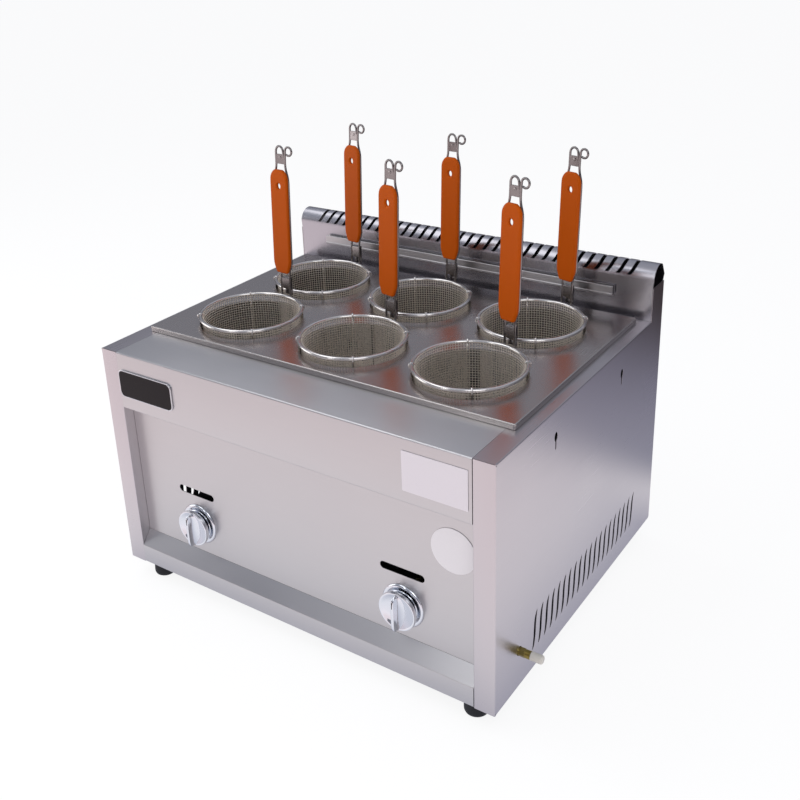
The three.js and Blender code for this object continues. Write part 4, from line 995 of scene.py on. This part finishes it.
pipe_profile = [(8, 405.8), (10.6, 405.8), (10.6, 481.0), (10.2, 481.5), (8, 481.5), (8, 405.8)]
pipe_mesh = turned_mesh("drain_pipe", pipe_profile, 48, on_drain)
pipe = add_piece("drain_pipe_tube", pipe_mesh, tank_steel, "cabinet")
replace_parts(pipe, "drain_pipe")
valve_parts = []
for end, a, s in (("front", valve_front, 1), ("rear", valve_rear, -1)):
    end_profile = [(8, a), (12.6, a), (13.6, a + 0.8 * s), (13.6, a + 9 * s), (12.8, a + 9.6 * s),
                   (11, a + 9.6 * s)]
    valve_parts.append(turned_mesh("valve_hex_" + end, end_profile, 6, on_drain))
body_profile = [(11, 491), (13, 491.2), (14.6, 493.2), (15.7, 496.4), (16, valve_y), (15.7, 503.2),
                (14.6, 506.4), (13, 508.4), (11, 508.6)]
bonnet_profile = [(7.5, 194), (7.5, 197), (6, 197.8), (6, 202.6), (5.5, 203.1), (0, 203.1)]
valve_parts += [
    turned_mesh("valve_body", body_profile, 48, on_drain),
    turned_mesh("valve_bore", [(8, valve_rear), (8, valve_front)], 48, on_drain),
    turned_mesh("valve_bonnet", bonnet_profile, 36, on_spindle),
]
valve_mesh = joined("drain_valve", valve_parts)
valve = add_piece("drain_valve_brass", valve_mesh, machined_brass, "cabinet", 30)
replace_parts(valve, "drain_valve")

# Dipped vinyl: a soft, slightly wavy red skin.
dipped_vinyl = plain("dipped red vinyl", "#9c2a22", 0.45, 5.0)
lever_eye = arc(0, 0, 9, range(46, 315, 12))
lever_end = [(73, -6.5), (76.2, -5.4), (77.6, -3), (78, 0), (77.6, 3), (76.2, 5.4), (73, 6.5)]
lever_outline = lever_eye + [(14, -6.5)] + lever_end + [(14, 6.5)]
lever_height = 205.4
lever_mesh = slab_mesh("drain_lever", [lever_outline], 4, 1.3,
                       lambda a, b, d: on_spindle(a, b, lever_height + d), 4)
lever = add_piece("drain_lever_dipped", lever_mesh, dipped_vinyl, "drain_lever")
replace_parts(lever, "drain_lever")

# Plates and sticker, all bare: an enamelled badge with a bright rim, a foil label under the lip
# of the deck, and a round paper sticker on the control panel.
gloss_black = plain("gloss black enamel on aluminium", "#141012", 0.22, 8.0, change=0.9,
                    depth=0.00002, gloss=0.16)
bright_rim = plain("bright aluminium rim", "#d9dade", 0.25, 4.0, metallic=1.0, change=0.97, depth=0.00002)
satin_foil = plain("satin silver foil label", "#e9e6ea", 0.45, 3.0, metallic=0.25, change=0.96)
white_paper = plain("coated white paper", "#f3f1f2", 0.5, 3.0, change=0.97)


def front_box(name):
    low, high = ((p - cabinet_origin) * 1000 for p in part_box(name))
    return low.x, high.x, low.z, high.z, low.y, high.y


def facing_front(middle):
    """Turns a place on a flat plate into a place in the frame. middle is the plate's depth."""
    return lambda x, z, depth: at(x, middle - depth, z)


x0, x1, z0, z1, front, rear = front_box("badge_plate")
enamel = rounded_rectangle(x0 + 0.9, x1 - 0.9, z0 + 0.9, z1 - 0.9, 7.1)
badge = slab_mesh("badge", [enamel], rear - front - 0.3, 0.3, facing_front((front + rear) / 2 + 0.15))
rim_lines = [rounded_rectangle(x0 + i, x1 - i, z0 + i, z1 - i, 8 - i) for i in (0, 1.3)]
badge_rim = slab_mesh("badge_rim", rim_lines, rear - front, 0.35, facing_front((front + rear) / 2))
for name, mesh, finish in (("badge_enamel", badge, gloss_black), ("badge_bright_rim", badge_rim, bright_rim)):
    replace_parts(add_piece(name, mesh, finish, "cabinet"), "badge_plate")
x0, x1, z0, z1, front, rear = front_box("label_plate")
label_outline = rounded_rectangle(x0, x1, z0, z1, 1.2)
label = slab_mesh("label", [label_outline], rear - front, 0.1, facing_front((front + rear) / 2), 1)
label_piece = add_piece("label_foil", label, satin_foil, "cabinet")
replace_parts(label_piece, "label_plate")
x0, x1, z0, z1, front, rear = front_box("round_sticker")
disc = circle((x0 + x1) / 2, (z0 + z1) / 2, (x1 - x0) / 2, 96)
sticker = slab_mesh("sticker", [disc], rear - front, 0.1, facing_front((front + rear) / 2), 1)
sticker_piece = add_piece("sticker_paper", sticker, white_paper, "cabinet")
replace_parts(sticker_piece, "round_sticker")
